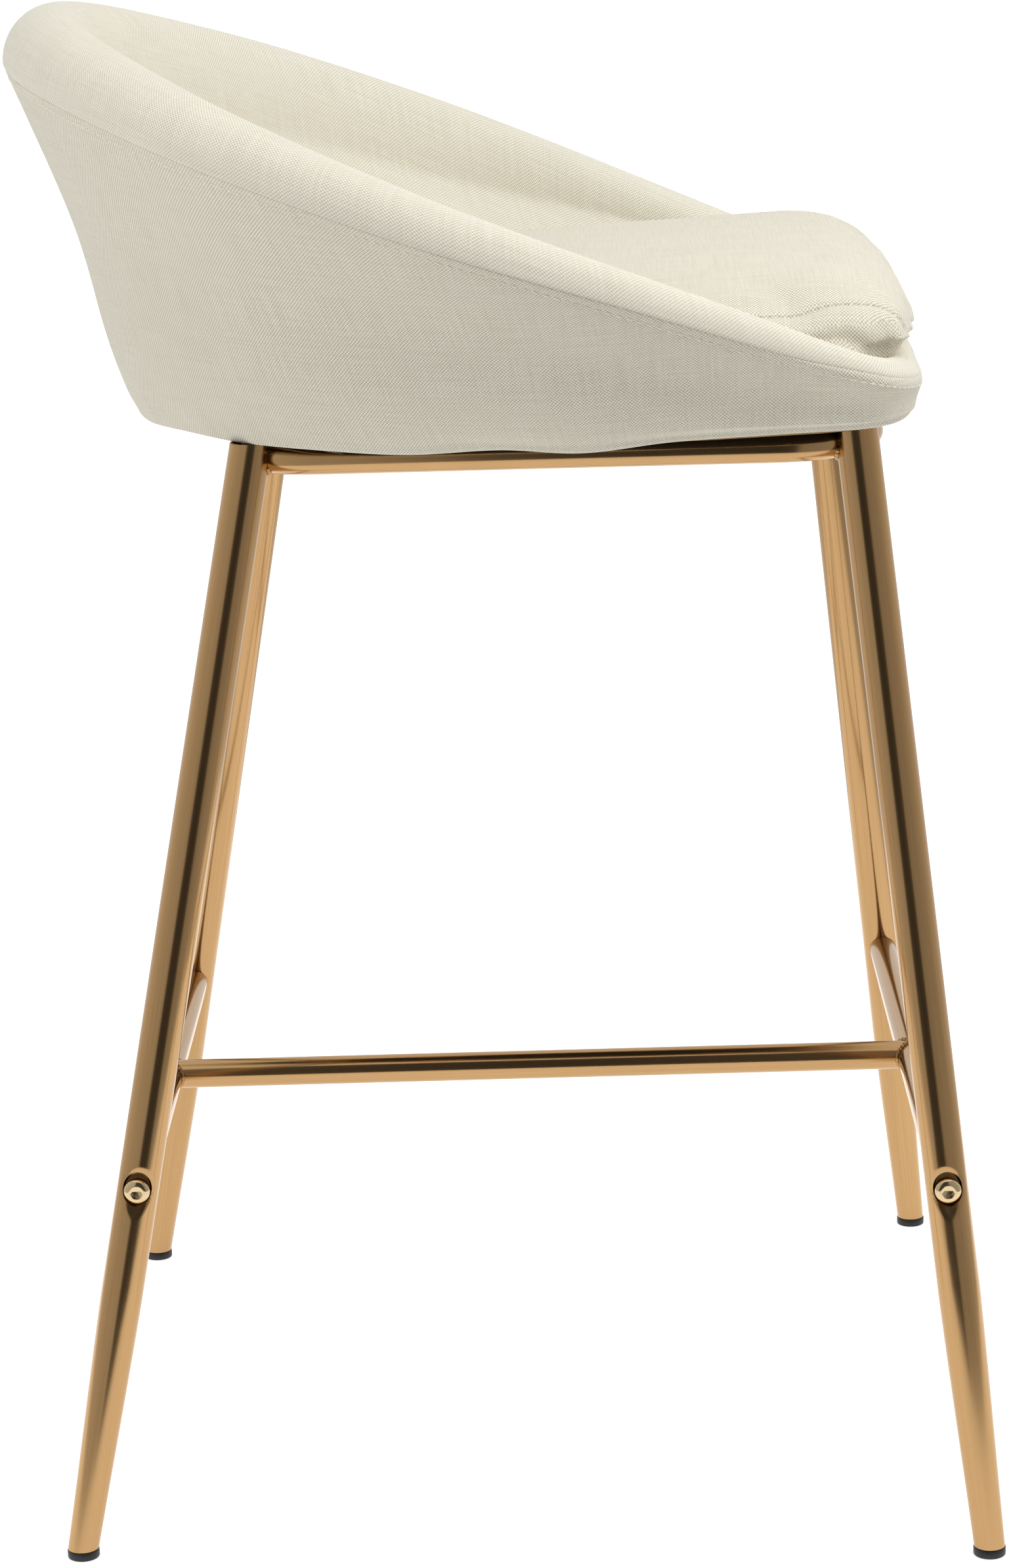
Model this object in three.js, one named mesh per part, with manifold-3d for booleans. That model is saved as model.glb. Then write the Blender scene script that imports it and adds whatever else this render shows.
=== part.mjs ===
// Counter-height bar stool with a footrest: four bolted and welded tube legs, a seat ring, an H-shaped
// footrest and an upholstered bucket seat with a loose cushion.
// Millimetres. +Z is up and the seat faces -Y. Left and right are as seen from the front.

import * as THREE from 'three';
import { mergeVertices } from 'three/addons/utils/BufferGeometryUtils.js';
import Module from 'manifold-3d';

const wasm = await Module();
wasm.setup();

// ---- Driving dimensions ----

const fit = 0.3;                   // gap kept between pieces that touch
const boltFit = 0.3;               // extra radius of every bolt or screw hole

// Where the legs stand, and where they meet the plane of the seat ring
const footDepth = 476;             // front feet to rear feet
const frontFootWidth = 504;        // left foot to right foot
const rearFootWidth = 454;
const frontTopWidth = 333;         // left leg to right leg at the seat ring
const rearTopWidth = 243;
const frontTopY = -182;
const rearTopY = 131;

const ringHeight = 567.3;          // floor to the middle of the seat ring
const seatTilt = THREE.MathUtils.degToRad(1.4);   // the front of the seat is higher

// Leg tube
const legDiameter = 22;
const legWall = 1.5;
const legEndDiameter = 15.8;       // where the taper ends, at the foot
const taperHeight = 135;           // the tube tapers below this height
const legTopAboveRail = 1.7;       // leg end, above the top of the ring's tube

// Foot cap
const capHeight = 4.7;             // part of the cap below the tube
const capDiameter = 17.6;
const capPlugLength = 16;
const capEdge = 0.8;               // rounding at the floor

// Seat ring
const ringDiameter = 16;
const ringWall = 1.5;
const ringBendRadius = 42;         // to the tube's centre line
const ringInset = 11;              // leg axis to the ring's centre line, at the corner
const ringButtGap = 0.4;           // joint in the middle of the rear rail

// Footrest
const footrestHeight = 192.4;      // floor to the bars' centre lines
const barDiameter = 16;
const barWall = 1.5;
const insertLength = 22;

// Footrest bolts, M8 button head
const boltDiameter = 8;
const boltHeadDiameter = 14;
const boltHeadHeight = 4.4;
const boltLength = 40;
const hexAcross = 5;
const hexDepth = 2.6;
const seatRecess = 5;              // leg surface to the face under the bolt head
const recessDiameter = 17;
const recessWall = 1.2;

// Seat fixings, M6
const tabThickness = 2.4;
const tabWidth = 30;               // along the rail
const tabLength = 40;              // rail's centre line to the inner end
const tabCorner = 5;
const screwOffset = 26;            // rail's centre line to the screw
const screwDiameter = 6;
const screwHeadDiameter = 11;
const screwHeadHeight = 3.3;
const screwLength = 15;
const nutBarrelDiameter = 8.6;
const nutBarrelLength = 9;
const nutFlangeDiameter = 19;
const nutFlangeThickness = 1.2;

// Seat base
const boardThickness = 12;
const boardInset = 12.5;           // hem line to the board's edge
const dustCoverThickness = 0.5;
const dustCoverInset = 14;

// Bucket shell. The rim's crest falls towards the front, and bows up a little on the way.
const rimHeight = 132;             // crest above the ring's centre plane at y = 0
const rimSlope = 0.438;
const rimBow = 1.2;                // highest at y = 0, none at rimBowReach
const rimBowReach = 220;
const rollRadius = 20.5;           // rim roll at y = 0
const rollGrowth = 0.034;          // roll radius gained for each millimetre towards the rear
const innerStretch = 1.2;          // how much taller than a circle the roll's inner half is, at most
const innerStretchFrom = 60;       // crest heights between which that stretch comes in
const innerStretchTo = 160;
const seamDrop = 21;               // crest to seam at y = 0
const seamDropGrowth = 0.04;       // gained for each millimetre towards the rear
const seamFrontLift = 4;           // the seam is nearer the crest in front of the corners
const panelThickness = 9;          // padded outer panel
const coreThickness = 8;           // moulded shell inside the padding
const radialShare = 0.65;          // 0 follows the rim's normal, 1 points away from the seat's middle
const wallThickness = 34;          // whole padded wall at the seat base
const softGap = 1.6;               // between the shell's layers
const coreTopShare = 0.42;         // padding above the core, as a share of the roll radius

// Seat cushion
const cushionCrown = 98;           // top of the cushion above the ring's centre plane
const cushionInset = 8;            // hem line to the cushion's side
const cushionOverhang = 8;         // cushion's front beyond the hem line
const cushionGap = 3.2;            // cushion to shell
const seatMiddleY = -20;

// Right half of the rim crest and of the hem line, from rear centre to front centre. Point for point
// the two lists face each other across the wall.
const rimHalf = [
  [0, 228], [57, 219], [108, 198], [155, 169], [202, 130], [236, 80], [255, 22],
  [253, -28], [240, -80], [226, -137], [216, -180], [182, -199.5], [92, -204.5], [0, -205.5],
];
const hemHalf = [
  [0, 199], [48, 190], [90, 168], [126, 136], [158, 98], [182, 48], [196, 0],
  [205, -42], [211, -88], [210, -142], [203, -188], [168, -208], [85, -212.5], [0, -213],
];

const stationsPerPoint = 2;        // sections around the shell for each outline point
const levelCount = 6;              // rows up each layer of the wall
const tubeSides = 20;
const smallSides = 12;

// ---- Sizes that follow ----

const legRadius = legDiameter / 2;
const ringRadius = ringDiameter / 2;
const barRadius = barDiameter / 2;
const legTopAboveRing = ringRadius + legTopAboveRail;   // from the ring's centre plane
const tabBottom = ringRadius + fit;
const seatBottom = tabBottom + tabThickness + fit;
const boardTop = seatBottom + boardThickness;

// ---- Helpers ----

// Closed geometry with merged vertices and its faces pointing out
function closed(source) {
  const bare = source.index ? source.toNonIndexed() : source.clone();
  bare.deleteAttribute('normal');
  bare.deleteAttribute('uv');
  const merged = mergeVertices(bare, 1e-4);
  const position = merged.attributes.position;
  const corners = Array.from(merged.index.array);
  const kept = [];
  for (let i = 0; i < corners.length; i += 3) {
    const [a, b, c] = corners.slice(i, i + 3);
    if (a !== b && b !== c && c !== a) kept.push(a, b, c);
  }
  const [pa, pb, pc] = [new THREE.Vector3(), new THREE.Vector3(), new THREE.Vector3()];
  let volume = 0;
  for (let i = 0; i < kept.length; i += 3) {
    pa.fromBufferAttribute(position, kept[i]);
    pb.fromBufferAttribute(position, kept[i + 1]);
    pc.fromBufferAttribute(position, kept[i + 2]);
    volume += pa.dot(pb.cross(pc)) / 6;
  }
  if (volume < 0) kept.reverse();
  merged.setIndex(kept);
  return merged;
}

function toSolid(geometry) {
  const shape = closed(geometry);
  return new wasm.Manifold(new wasm.Mesh({
    numProp: 3,
    vertProperties: new Float32Array(shape.attributes.position.array),
    triVerts: new Uint32Array(shape.index.array),
  }));
}

function toGeometry(solid) {
  const result = solid.getMesh();
  const geometry = new THREE.BufferGeometry();
  geometry.setAttribute('position', new THREE.BufferAttribute(new Float32Array(result.vertProperties), 3));
  geometry.setIndex(new THREE.BufferAttribute(new Uint32Array(result.triVerts), 1));
  geometry.computeVertexNormals();
  return geometry;
}

function subtract(geometry, ...tools) {
  return toGeometry(tools.reduce((solid, tool) => solid.subtract(toSolid(tool)), toSolid(geometry)));
}

function join(first, ...others) {
  return toGeometry(others.reduce((solid, other) => solid.add(toSolid(other)), toSolid(first)));
}

// A turned shape about Z from [radius, height] pairs
function turned(points, sides) {
  const profile = points.map(([radius, height]) => new THREE.Vector2(radius, height));
  return new THREE.LatheGeometry(profile, sides).rotateX(Math.PI / 2);
}

function rod(radius, from, to, sides = tubeSides) {
  return turned([[0, from], [radius, from], [radius, to], [0, to]], sides);
}

function hollowTube(radius, wall, from, to, sides = tubeSides) {
  const bore = radius - wall;
  return turned([[radius, from], [radius, to], [bore, to], [bore, from], [radius, from]], sides);
}

// Turns a shape made along Z so that it lies along direction, and moves its zero to origin
function aim(geometry, direction, origin) {
  const turn = new THREE.Quaternion().setFromUnitVectors(
    new THREE.Vector3(0, 0, 1), direction.clone().normalize());
  return geometry.applyQuaternion(turn).translate(origin.x, origin.y, origin.z);
}

function material(color, roughness, metalness) {
  return new THREE.MeshStandardMaterial({ color, roughness, metalness });
}

const finishes = {
  goldTube: () => material('#b98f5c', 0.28, 1),
  goldBolt: () => material('#c9b08c', 0.18, 1),
  zincSteel: () => material('#a7a9ab', 0.4, 1),
  blackPlastic: () => material('#161616', 0.5, 0),
  plywood: () => material('#c8a678', 0.7, 0),
  mouldedShell: () => material('#3a3a3c', 0.6, 0),
  creamFabric: () => material('#e6e2d3', 0.95, 0),
  dustCloth: () => material('#1d1d1f', 0.9, 0),
};

const stool = new THREE.Group();
const seat = new THREE.Group();    // everything that shares the ring's tilted plane
seat.position.z = ringHeight;
seat.rotation.x = -seatTilt;
stool.add(seat);

function addPiece(group, name, geometry, finish) {
  const piece = new THREE.Mesh(closed(geometry), finish());
  piece.name = name;
  group.add(piece);
  return piece;
}

seat.updateMatrix();
const seatToFloor = seat.matrix.clone();
const floorToSeat = seatToFloor.clone().invert();

// ---- Layout of the legs ----

function makeLeg(end, side) {
  const front = end === 'front';
  const footX = (side * (front ? frontFootWidth : rearFootWidth)) / 2;
  const topX = (side * (front ? frontTopWidth : rearTopWidth)) / 2;
  const foot = new THREE.Vector3(footX, ((front ? -1 : 1) * footDepth) / 2, 0);
  const top = new THREE.Vector3(topX, front ? frontTopY : rearTopY, ringHeight);
  const axis = top.clone().sub(foot).normalize();
  const at = (height) => foot.clone().addScaledVector(axis, height / axis.z);
  return { name: `${end}_${side < 0 ? 'left' : 'right'}`, end, side, foot, top, axis, at };
}

const legs = ['front', 'rear'].flatMap((end) => [-1, 1].map((side) => makeLeg(end, side)));
const legAt = (end, side) => legs.find((leg) => leg.end === end && leg.side === side);

// ---- Seat ring: one bent tube, butt joined in the middle of the rear rail ----

// Straight runs joined by arcs, sampled once along each run and evenly along each bend
class BentPath extends THREE.Curve {
  constructor(points) {
    super();
    this.points = points;
  }

  getPoint(t) {
    const place = t * (this.points.length - 1);
    const index = Math.min(Math.floor(place), this.points.length - 2);
    return this.points[index].clone().lerp(this.points[index + 1], place - index);
  }

  getUtoTmapping(u) {
    return u;
  }
}

// Points of a closed polygon with each corner replaced by an arc
function roundedCorners(corners, radius, arcSteps) {
  const points = [];
  corners.forEach((corner, index) => {
    const before = corners[(index + corners.length - 1) % corners.length];
    const after = corners[(index + 1) % corners.length];
    const toBefore = before.clone().sub(corner).normalize();
    const toAfter = after.clone().sub(corner).normalize();
    const half = toBefore.angleTo(toAfter) / 2;
    const inward = toBefore.clone().add(toAfter).normalize();
    const centre = corner.clone().addScaledVector(inward, radius / Math.sin(half));
    const sweep = Math.PI / 2 - half;
    const side = toAfter.clone().sub(toBefore).normalize();
    for (let step = 0; step <= arcSteps; step += 1) {
      const angle = -sweep + (2 * sweep * step) / arcSteps;
      points.push(centre.clone()
        .addScaledVector(inward, -radius * Math.cos(angle))
        .addScaledVector(side, radius * Math.sin(angle)));
    }
  });
  return points;
}

// A corner of the ring, set so that the middle of its bend lies ringInset inside the leg's axis
function ringCorner(leg, towards) {
  const centre = leg.top.clone().applyMatrix4(floorToSeat).setZ(0);
  const along = towards.top.clone().applyMatrix4(floorToSeat).setZ(0).sub(centre).normalize();
  const across = new THREE.Vector3(-leg.side, 0, 0);
  const inward = along.clone().add(across).normalize();
  const half = along.angleTo(across) / 2;
  const cornerGap = ringBendRadius / Math.sin(half) - ringBendRadius;
  return centre.addScaledVector(inward, ringInset - cornerGap);
}

const ringCorners = [
  ringCorner(legAt('rear', -1), legAt('front', -1)),
  ringCorner(legAt('front', -1), legAt('rear', -1)),
  ringCorner(legAt('front', 1), legAt('rear', 1)),
  ringCorner(legAt('rear', 1), legAt('front', 1)),
];
const bendSteps = 6;
const ringBends = roundedCorners(ringCorners, ringBendRadius, bendSteps);
const ringRearY = ringCorners[0].y;
const ringPath = new BentPath([
  new THREE.Vector3(-ringButtGap / 2, ringRearY, 0),
  ...ringBends,
  new THREE.Vector3(ringButtGap / 2, ringRearY, 0),
]);
const ringSteps = ringPath.points.length - 1;

function circleShape(radius, bore) {
  const shape = new THREE.Shape().absarc(0, 0, radius, 0, 2 * Math.PI, false);
  if (bore) shape.holes.push(new THREE.Path().absarc(0, 0, bore, 0, 2 * Math.PI, true));
  return shape;
}

const ringSection = circleShape(ringRadius, ringRadius - ringWall);
const ringExtrusion = { extrudePath: ringPath, steps: ringSteps, curveSegments: 8 };
addPiece(seat, 'seat_ring', new THREE.ExtrudeGeometry(ringSection, ringExtrusion), finishes.goldTube);

// The room that the ring needs in the tops of the legs: its own section, open upwards
function ringClearance() {
  const radius = ringRadius + fit;
  const reach = legTopAboveRing + radius;
  const section = new THREE.Shape()
    .moveTo(-reach, -radius)
    .lineTo(0, -radius)
    .absarc(0, 0, radius, -Math.PI / 2, Math.PI / 2, false)
    .lineTo(-reach, radius);
  const ends = [ringPath.points[1], ringPath.points.at(-2)];
  const middle = ends[0].clone().lerp(ends[1], 0.5);
  const cutPath = new BentPath([middle.clone().setX(-1), ...ringBends, middle.clone().setX(1)]);
  const options = { extrudePath: cutPath, steps: cutPath.points.length - 1, curveSegments: 8 };
  return new THREE.ExtrudeGeometry(section, options).applyMatrix4(seatToFloor);
}

// ---- Legs, with the notch for the ring and the recess for the footrest bolt ----

const slabSize = 400;

// Everything above a height in the seat's tilted plane
function slabAboveSeat(height, x, y) {
  const slab = new THREE.BoxGeometry(slabSize, slabSize, slabSize);
  return slab.translate(x, y, height + slabSize / 2).applyMatrix4(seatToFloor);
}

function slabBelowFloor(height, x, y) {
  return new THREE.BoxGeometry(slabSize, slabSize, slabSize).translate(x, y, height - slabSize / 2);
}

function legTube(leg) {
  const spare = 12;
  const taper = taperHeight / leg.axis.z;
  const length = (ringHeight + legTopAboveRing) / leg.axis.z + spare;
  const endRadius = legEndDiameter / 2;
  const bore = legRadius - legWall;
  const profile = [
    [endRadius, 0], [legRadius, taper], [legRadius, length],
    [bore, length], [bore, taper], [endRadius - legWall, 0], [endRadius, 0],
  ];
  return aim(turned(profile, tubeSides), leg.axis, leg.foot);
}

// Shapes along X at a leg's bolt, with zero on the leg's axis and plus pointing out of the stool
function atBolt(leg, geometry) {
  return aim(geometry, new THREE.Vector3(leg.side, 0, 0), leg.at(footrestHeight));
}

const boltSeat = legRadius - seatRecess;
const notchTool = ringClearance();

legs.forEach((leg) => {
  const cup = rod(recessDiameter / 2 + recessWall, boltSeat - legWall, legRadius - 2.5 * legWall);
  const recess = rod(recessDiameter / 2, boltSeat, 2 * legRadius);
  const boltHole = rod(boltDiameter / 2 + boltFit, -2 * legRadius, legRadius, smallSides);
  const body = join(legTube(leg), atBolt(leg, cup));
  addPiece(stool, `leg_${leg.name}`, subtract(
    body,
    atBolt(leg, recess),
    atBolt(leg, boltHole),
    slabAboveSeat(legTopAboveRing, leg.top.x, leg.top.y),
    slabBelowFloor(capHeight + fit, leg.foot.x, leg.foot.y),
    notchTool,
  ), finishes.goldTube);
});

// ---- Foot caps: a flat foot with a plug up the tube ----

legs.forEach((leg) => {
  const radius = capDiameter / 2;
  const centre = leg.at(capHeight);
  const flat = turned(
    [[0, 0], [radius - capEdge, 0], [radius, capEdge], [radius, capHeight], [0, capHeight]], tubeSides);
  flat.translate(centre.x, centre.y, 0);
  const plugRadius = legEndDiameter / 2 - legWall - fit;
  const plug = aim(rod(plugRadius, 2, capHeight + capPlugLength, smallSides), leg.axis, leg.foot);
  addPiece(stool, `foot_cap_${leg.name}`, join(flat, plug), finishes.blackPlastic);
});

// ---- Footrest: two cross bars bolted between the legs, and a centre bar between them ----

function copeTool(leg) {
  const length = 60;
  return aim(rod(legRadius + fit, -length, length), leg.axis, leg.at(footrestHeight));
}

const alongX = new THREE.Vector3(1, 0, 0);
const alongY = new THREE.Vector3(0, 1, 0);

['front', 'rear'].forEach((end) => {
  const [left, right] = [legAt(end, -1), legAt(end, 1)];
  const reach = right.at(footrestHeight).x;
  const middle = right.at(footrestHeight).setX(0);
  const tube = aim(hollowTube(barRadius, barWall, -reach, reach), alongX, middle);
  addPiece(stool, `footrest_bar_${end}`, subtract(tube, copeTool(left), copeTool(right)), finishes.goldTube);
});

const barFrontY = legAt('front', 1).at(footrestHeight).y;
const barRearY = legAt('rear', 1).at(footrestHeight).y;
const centreTube = aim(
  hollowTube(barRadius, barWall, barFrontY, barRearY), alongY, new THREE.Vector3(0, 0, footrestHeight));
const crossBars = [barFrontY, barRearY].map((y) => aim(
  rod(barRadius + fit, -2 * barDiameter, 2 * barDiameter), alongX, new THREE.Vector3(0, y, footrestHeight)));
addPiece(stool, 'footrest_centre_bar', subtract(centreTube, ...crossBars), finishes.goldTube);

// Threaded plugs in the ends of the cross bars, and the bolts that pull the bars against the legs
legs.forEach((leg) => {
  const clear = legRadius + 2;
  const plugRadius = barRadius - barWall - fit;
  const plugBore = boltDiameter / 2 + boltFit - plugRadius;
  const plug = hollowTube(plugRadius, -plugBore, -clear - insertLength, -clear, smallSides);
  addPiece(stool, `footrest_insert_${leg.name}`, atBolt(leg, plug), finishes.zincSteel);

  const head = boltHeadDiameter / 2;
  const under = boltSeat + fit;
  const shoulder = 1.1;            // straight edge of the head, below its dome
  const bolt = turned([
    [0, under - boltLength], [boltDiameter / 2 - 0.8, under - boltLength],
    [boltDiameter / 2, under - boltLength + 1], [boltDiameter / 2, under],
    [head, under], [head, under + shoulder], [0.88 * head, under + 0.6 * boltHeadHeight],
    [0.68 * head, under + 0.88 * boltHeadHeight], [0.5 * head, under + boltHeadHeight],
    [0, under + boltHeadHeight],
  ], tubeSides);
  const hexRadius = hexAcross / Math.sqrt(3);
  const socket = rod(hexRadius, under + boltHeadHeight - hexDepth, under + 2 * boltHeadHeight, 6);
  addPiece(stool, `footrest_bolt_${leg.name}`, atBolt(leg, subtract(bolt, socket)), finishes.goldBolt);
});

// ---- Outlines of the bucket ----

function closedOutline(half) {
  const left = half.slice(1, -1).reverse().map(([x, y]) => [-x, y]);
  const points = [...half, ...left].map(([x, y]) => new THREE.Vector3(x, y, 0));
  return new THREE.CatmullRomCurve3(points, true, 'centripetal');
}

const rimLine = closedOutline(rimHalf);
const hemLine = closedOutline(hemHalf);
const stationCount = stationsPerPoint * (2 * rimHalf.length - 2);

// One vertical section of the wall. Outward leans from the rim's normal towards the line from the
// middle of the seat, so that thick layers don't cross inside the tight front corners.
function makeStation(index) {
  const t = index / stationCount;
  const crest = rimLine.getPoint(t);
  const hem = hemLine.getPoint(t);
  const tangent = rimLine.getTangent(t);
  const fromMiddle = crest.clone().sub(new THREE.Vector3(0, seatMiddleY, 0)).normalize();
  const normal = new THREE.Vector3(-tangent.y, tangent.x, 0).normalize();
  const out = normal.lerp(fromMiddle, radialShare).normalize();
  const bow = rimBow * (1 - (crest.y / rimBowReach) ** 2);
  const crestHeight = rimHeight + rimSlope * crest.y + bow;
  const roll = rollRadius + rollGrowth * crest.y;
  const stretch = THREE.MathUtils.smoothstep(crestHeight, innerStretchFrom, innerStretchTo);
  const innerRoll = roll * (1 + innerStretch * stretch);
  return { crest, hem, out, crestHeight, roll, innerRoll, rollHeight: crestHeight - roll };
}

const stations = Array.from({ length: stationCount }, (_, index) => makeStation(index));

// How far up the wall has leaned out, from 0 at the hem to 1 at the roll
function lean(share) {
  const turn = Math.PI * share;
  return share - 0.049 * Math.sin(turn) + 0.026 * Math.sin(2 * turn) + 0.02 * Math.sin(3 * turn);
}

// The outer skin at a height, moved in by depth
function outerSkin(station, height, depth = 0) {
  const { crest, hem, out, roll, rollHeight } = station;
  const above = Math.max(height - rollHeight, 0);
  const reach = Math.sqrt(Math.max(roll * roll - above * above, 0));
  const top = crest.clone().addScaledVector(out, reach);
  const share = Math.min((height - seatBottom) / (rollHeight - seatBottom), 1);
  const point = hem.clone().lerp(top, lean(share));
  return point.addScaledVector(out, -depth).setZ(height);
}

// A layer inside the outer skin, which goes straight up where the skin rolls over
function layer(station, height, depth) {
  return outerSkin(station, Math.min(height, station.rollHeight), depth).setZ(height);
}

// The inner skin from the seat board, share 0, to the roll, share 1, grown into the bucket by extra
function innerSkin(station, share, extra = 0) {
  const { crest, hem, out, roll, innerRoll, crestHeight } = station;
  const bottom = hem.clone().addScaledVector(out, -wallThickness);
  const top = crest.clone().addScaledVector(out, -roll);
  const height = boardTop + fit + (crestHeight - innerRoll - boardTop - fit) * share;
  return bottom.lerp(top, lean(share)).addScaledVector(out, -extra).setZ(height);
}

// A point on the roll: angle 0 is its outer side, 90 degrees its crest, 180 degrees its inner side
function onRoll(station, angle, extra = 0) {
  const { crest, out, roll, innerRoll, crestHeight } = station;
  const tall = angle > Math.PI / 2 ? innerRoll : roll;
  return crest.clone().addScaledVector(out, (roll + extra) * Math.cos(angle))
    .setZ(crestHeight - tall + (tall + extra) * Math.sin(angle));
}

// A turned blank bent to the sections around the shell. Each section is a list of points.
function bentLoop(sectionOf, isClosed) {
  const sections = stations.map(sectionOf);
  const rows = sections[0].length;
  const blank = Array.from({ length: rows }, (_, row) => new THREE.Vector2(row % (rows - 1) + 1, row));
  if (isClosed) blank[rows - 1] = blank[0].clone();
  const geometry = new THREE.LatheGeometry(blank, stationCount);
  const position = geometry.attributes.position;
  for (let index = 0; index <= stationCount; index += 1) {
    const section = sections[index % stationCount];
    section.forEach((point, row) => position.setXYZ(index * rows + row, point.x, point.y, point.z));
  }
  return geometry;
}

const mix = THREE.MathUtils.lerp;

const spread = (count, from, to) => Array.from(
  { length: count }, (_, index) => from + ((to - from) * index) / (count - 1));

// The same levels for every layer of a section, so that neighbouring layers bend alike
function levels({ rollHeight }, from, to) {
  return spread(levelCount, seatBottom, rollHeight).map((height) => Math.min(Math.max(height, from), to));
}

// Height of the seam between outer panel and rim band
function seamHeight({ crest, crestHeight }) {
  const lift = seamFrontLift * THREE.MathUtils.smoothstep(-crest.y, 130, 180);
  return crestHeight - seamDrop - seamDropGrowth * crest.y + lift;
}

// ---- Outer panel: fabric over thin padding, from the hem to the seam ----

addPiece(seat, 'shell_outer_panel', bentLoop((station) => {
  const seam = seamHeight(station) - softGap / 2;
  const heights = [...levels(station, seatBottom, seam), seam];
  const outside = heights.map((height) => outerSkin(station, height));
  const inside = heights.reverse().map((height) => layer(station, height, panelThickness));
  return [...outside, ...inside, outside[0]];
}, true), finishes.creamFabric);

// ---- Moulded shell inside the padding ----

const coreFace = panelThickness + softGap;
const coreTop = ({ crestHeight, roll }) => crestHeight - coreTopShare * roll;

addPiece(seat, 'shell_core', bentLoop((station) => {
  const heights = [...levels(station, boardTop + fit, station.rollHeight), coreTop(station)];
  const outside = heights.map((height) => layer(station, height, coreFace));
  const thickness = station.out.clone().multiplyScalar(-coreThickness);
  const inside = outside.map((point) => point.clone().add(thickness)).reverse();
  return [...outside, ...inside, outside[0]];
}, true), finishes.mouldedShell);

// ---- Rim band: thick padding that rolls over the core and lines the inside ----

addPiece(seat, 'shell_rim_band', bentLoop((station) => {
  const seam = seamHeight(station) + softGap / 2;
  const seamAngle = Math.asin(Math.min(Math.max((seam - station.rollHeight) / station.roll, 0), 1));
  const roll = spread(9, seamAngle, Math.PI).map((angle) => onRoll(station, angle));
  const lining = [0.75, 0.5, 0.25, 0].map((share) => innerSkin(station, share));
  const coreBack = coreFace + coreThickness + softGap;
  const over = coreTop(station) + softGap;
  const backHeights = [...levels(station, boardTop + fit, station.rollHeight), over];
  const back = backHeights.map((height) => layer(station, height, coreBack));
  const face = [over, Math.max(station.rollHeight, seam), seam]
    .map((height) => layer(station, height, panelThickness));
  const start = outerSkin(station, seam);
  return [start, ...roll, ...lining, ...back, ...face, start];
}, true), finishes.creamFabric);

// ---- Seat cushion: a crowned pad, trimmed where the wall and the front lip need room ----

// Shares of the way from the middle to the edge and of the height above the board, at the sides
// and at the front
const sideProfile = [
  [0, 0.03], [0.9, 0.03], [0.97, 0.08], [1, 0.19], [1, 0.35], [0.985, 0.48], [0.95, 0.61],
  [0.88, 0.72], [0.75, 0.83], [0.5, 0.95], [0, 1],
];
const frontProfile = [
  [0, 0.03], [0.9, 0.03], [0.985, 0.06], [1, 0.19], [0.99, 0.35], [0.965, 0.52], [0.935, 0.67],
  [0.89, 0.83], [0.83, 0.95], [0.5, 1], [0, 1],
];

const cushionBlank = bentLoop(({ hem, out }) => sideProfile.map(([sideShare, sideHeight], row) => {
  const [frontShare, frontHeight] = frontProfile[row];
  const front = Math.max(-out.y, 0) ** 2;
  const edge = hem.clone().addScaledVector(out, mix(-cushionInset, cushionOverhang, front));
  const height = (cushionCrown - boardTop) * mix(sideHeight, frontHeight, front);
  const middle = new THREE.Vector3(0, seatMiddleY, 0);
  return middle.lerp(edge, mix(sideShare, frontShare, front)).setZ(boardTop + height);
}), false);

const cushionRoom = bentLoop((station) => {
  const far = 80;
  const lining = [0, 0.25, 0.5, 0.75].map((share) => innerSkin(station, share, cushionGap));
  lining.unshift(lining[0].clone().setZ(0));
  const roll = spread(5, Math.PI, Math.PI / 2).map((angle) => onRoll(station, angle, cushionGap));
  const outside = roll.at(-1).clone().addScaledVector(station.out, far);
  return [...lining, ...roll, outside, outside.clone().setZ(0), lining[0]];
}, true);

addPiece(seat, 'seat_cushion', subtract(cushionBlank, cushionRoom), finishes.creamFabric);

// ---- Seat board, fixing tabs, screws, tee nuts and dust cover ----

function insetOutline(inset) {
  const points = stations.map(({ hem, out }) => hem.clone().addScaledVector(out, -inset));
  return new THREE.Shape(points.map(({ x, y }) => new THREE.Vector2(x, y)));
}

function plate(shape, from, thickness) {
  const options = { depth: thickness, bevelEnabled: false, curveSegments: 6 };
  return new THREE.ExtrudeGeometry(shape, options).translate(0, 0, from);
}

// Tabs stand on the side rails, a share of the way from rear corner to front corner
function makeTab(side, end, share) {
  const [rear, front] = side < 0 ? [ringCorners[0], ringCorners[1]] : [ringCorners[3], ringCorners[2]];
  const rail = rear.clone().lerp(front, share);
  const along = front.clone().sub(rear).normalize();
  const inward = new THREE.Vector3(along.y, -along.x, 0).multiplyScalar(side);
  return { name: `${end}_${side < 0 ? 'left' : 'right'}`, rail, along, inward };
}

const tabs = [-1, 1].flatMap((side) => [makeTab(side, 'rear', 0.22), makeTab(side, 'front', 0.8)]);

// A flat shape drawn with +Y towards the middle of the seat, placed on a tab
function onTab(tab, geometry) {
  const frame = new THREE.Matrix4().makeBasis(
    tab.inward.clone().cross(new THREE.Vector3(0, 0, 1)), tab.inward, new THREE.Vector3(0, 0, 1));
  return geometry.applyMatrix4(frame).translate(tab.rail.x, tab.rail.y, 0);
}

function tabShape(grow) {
  const [wide, low, high] = [tabWidth / 2 + grow, -ringRadius / 2 - grow, tabLength + grow];
  const corner = tabCorner;
  return new THREE.Shape()
    .moveTo(-wide, low)
    .lineTo(wide, low)
    .lineTo(wide, high - corner)
    .absarc(wide - corner, high - corner, corner, 0, Math.PI / 2, false)
    .lineTo(-wide + corner, high)
    .absarc(-wide + corner, high - corner, corner, Math.PI / 2, Math.PI, false);
}

const atScrew = (tab, geometry) => onTab(tab, geometry.translate(0, screwOffset, 0));

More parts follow.
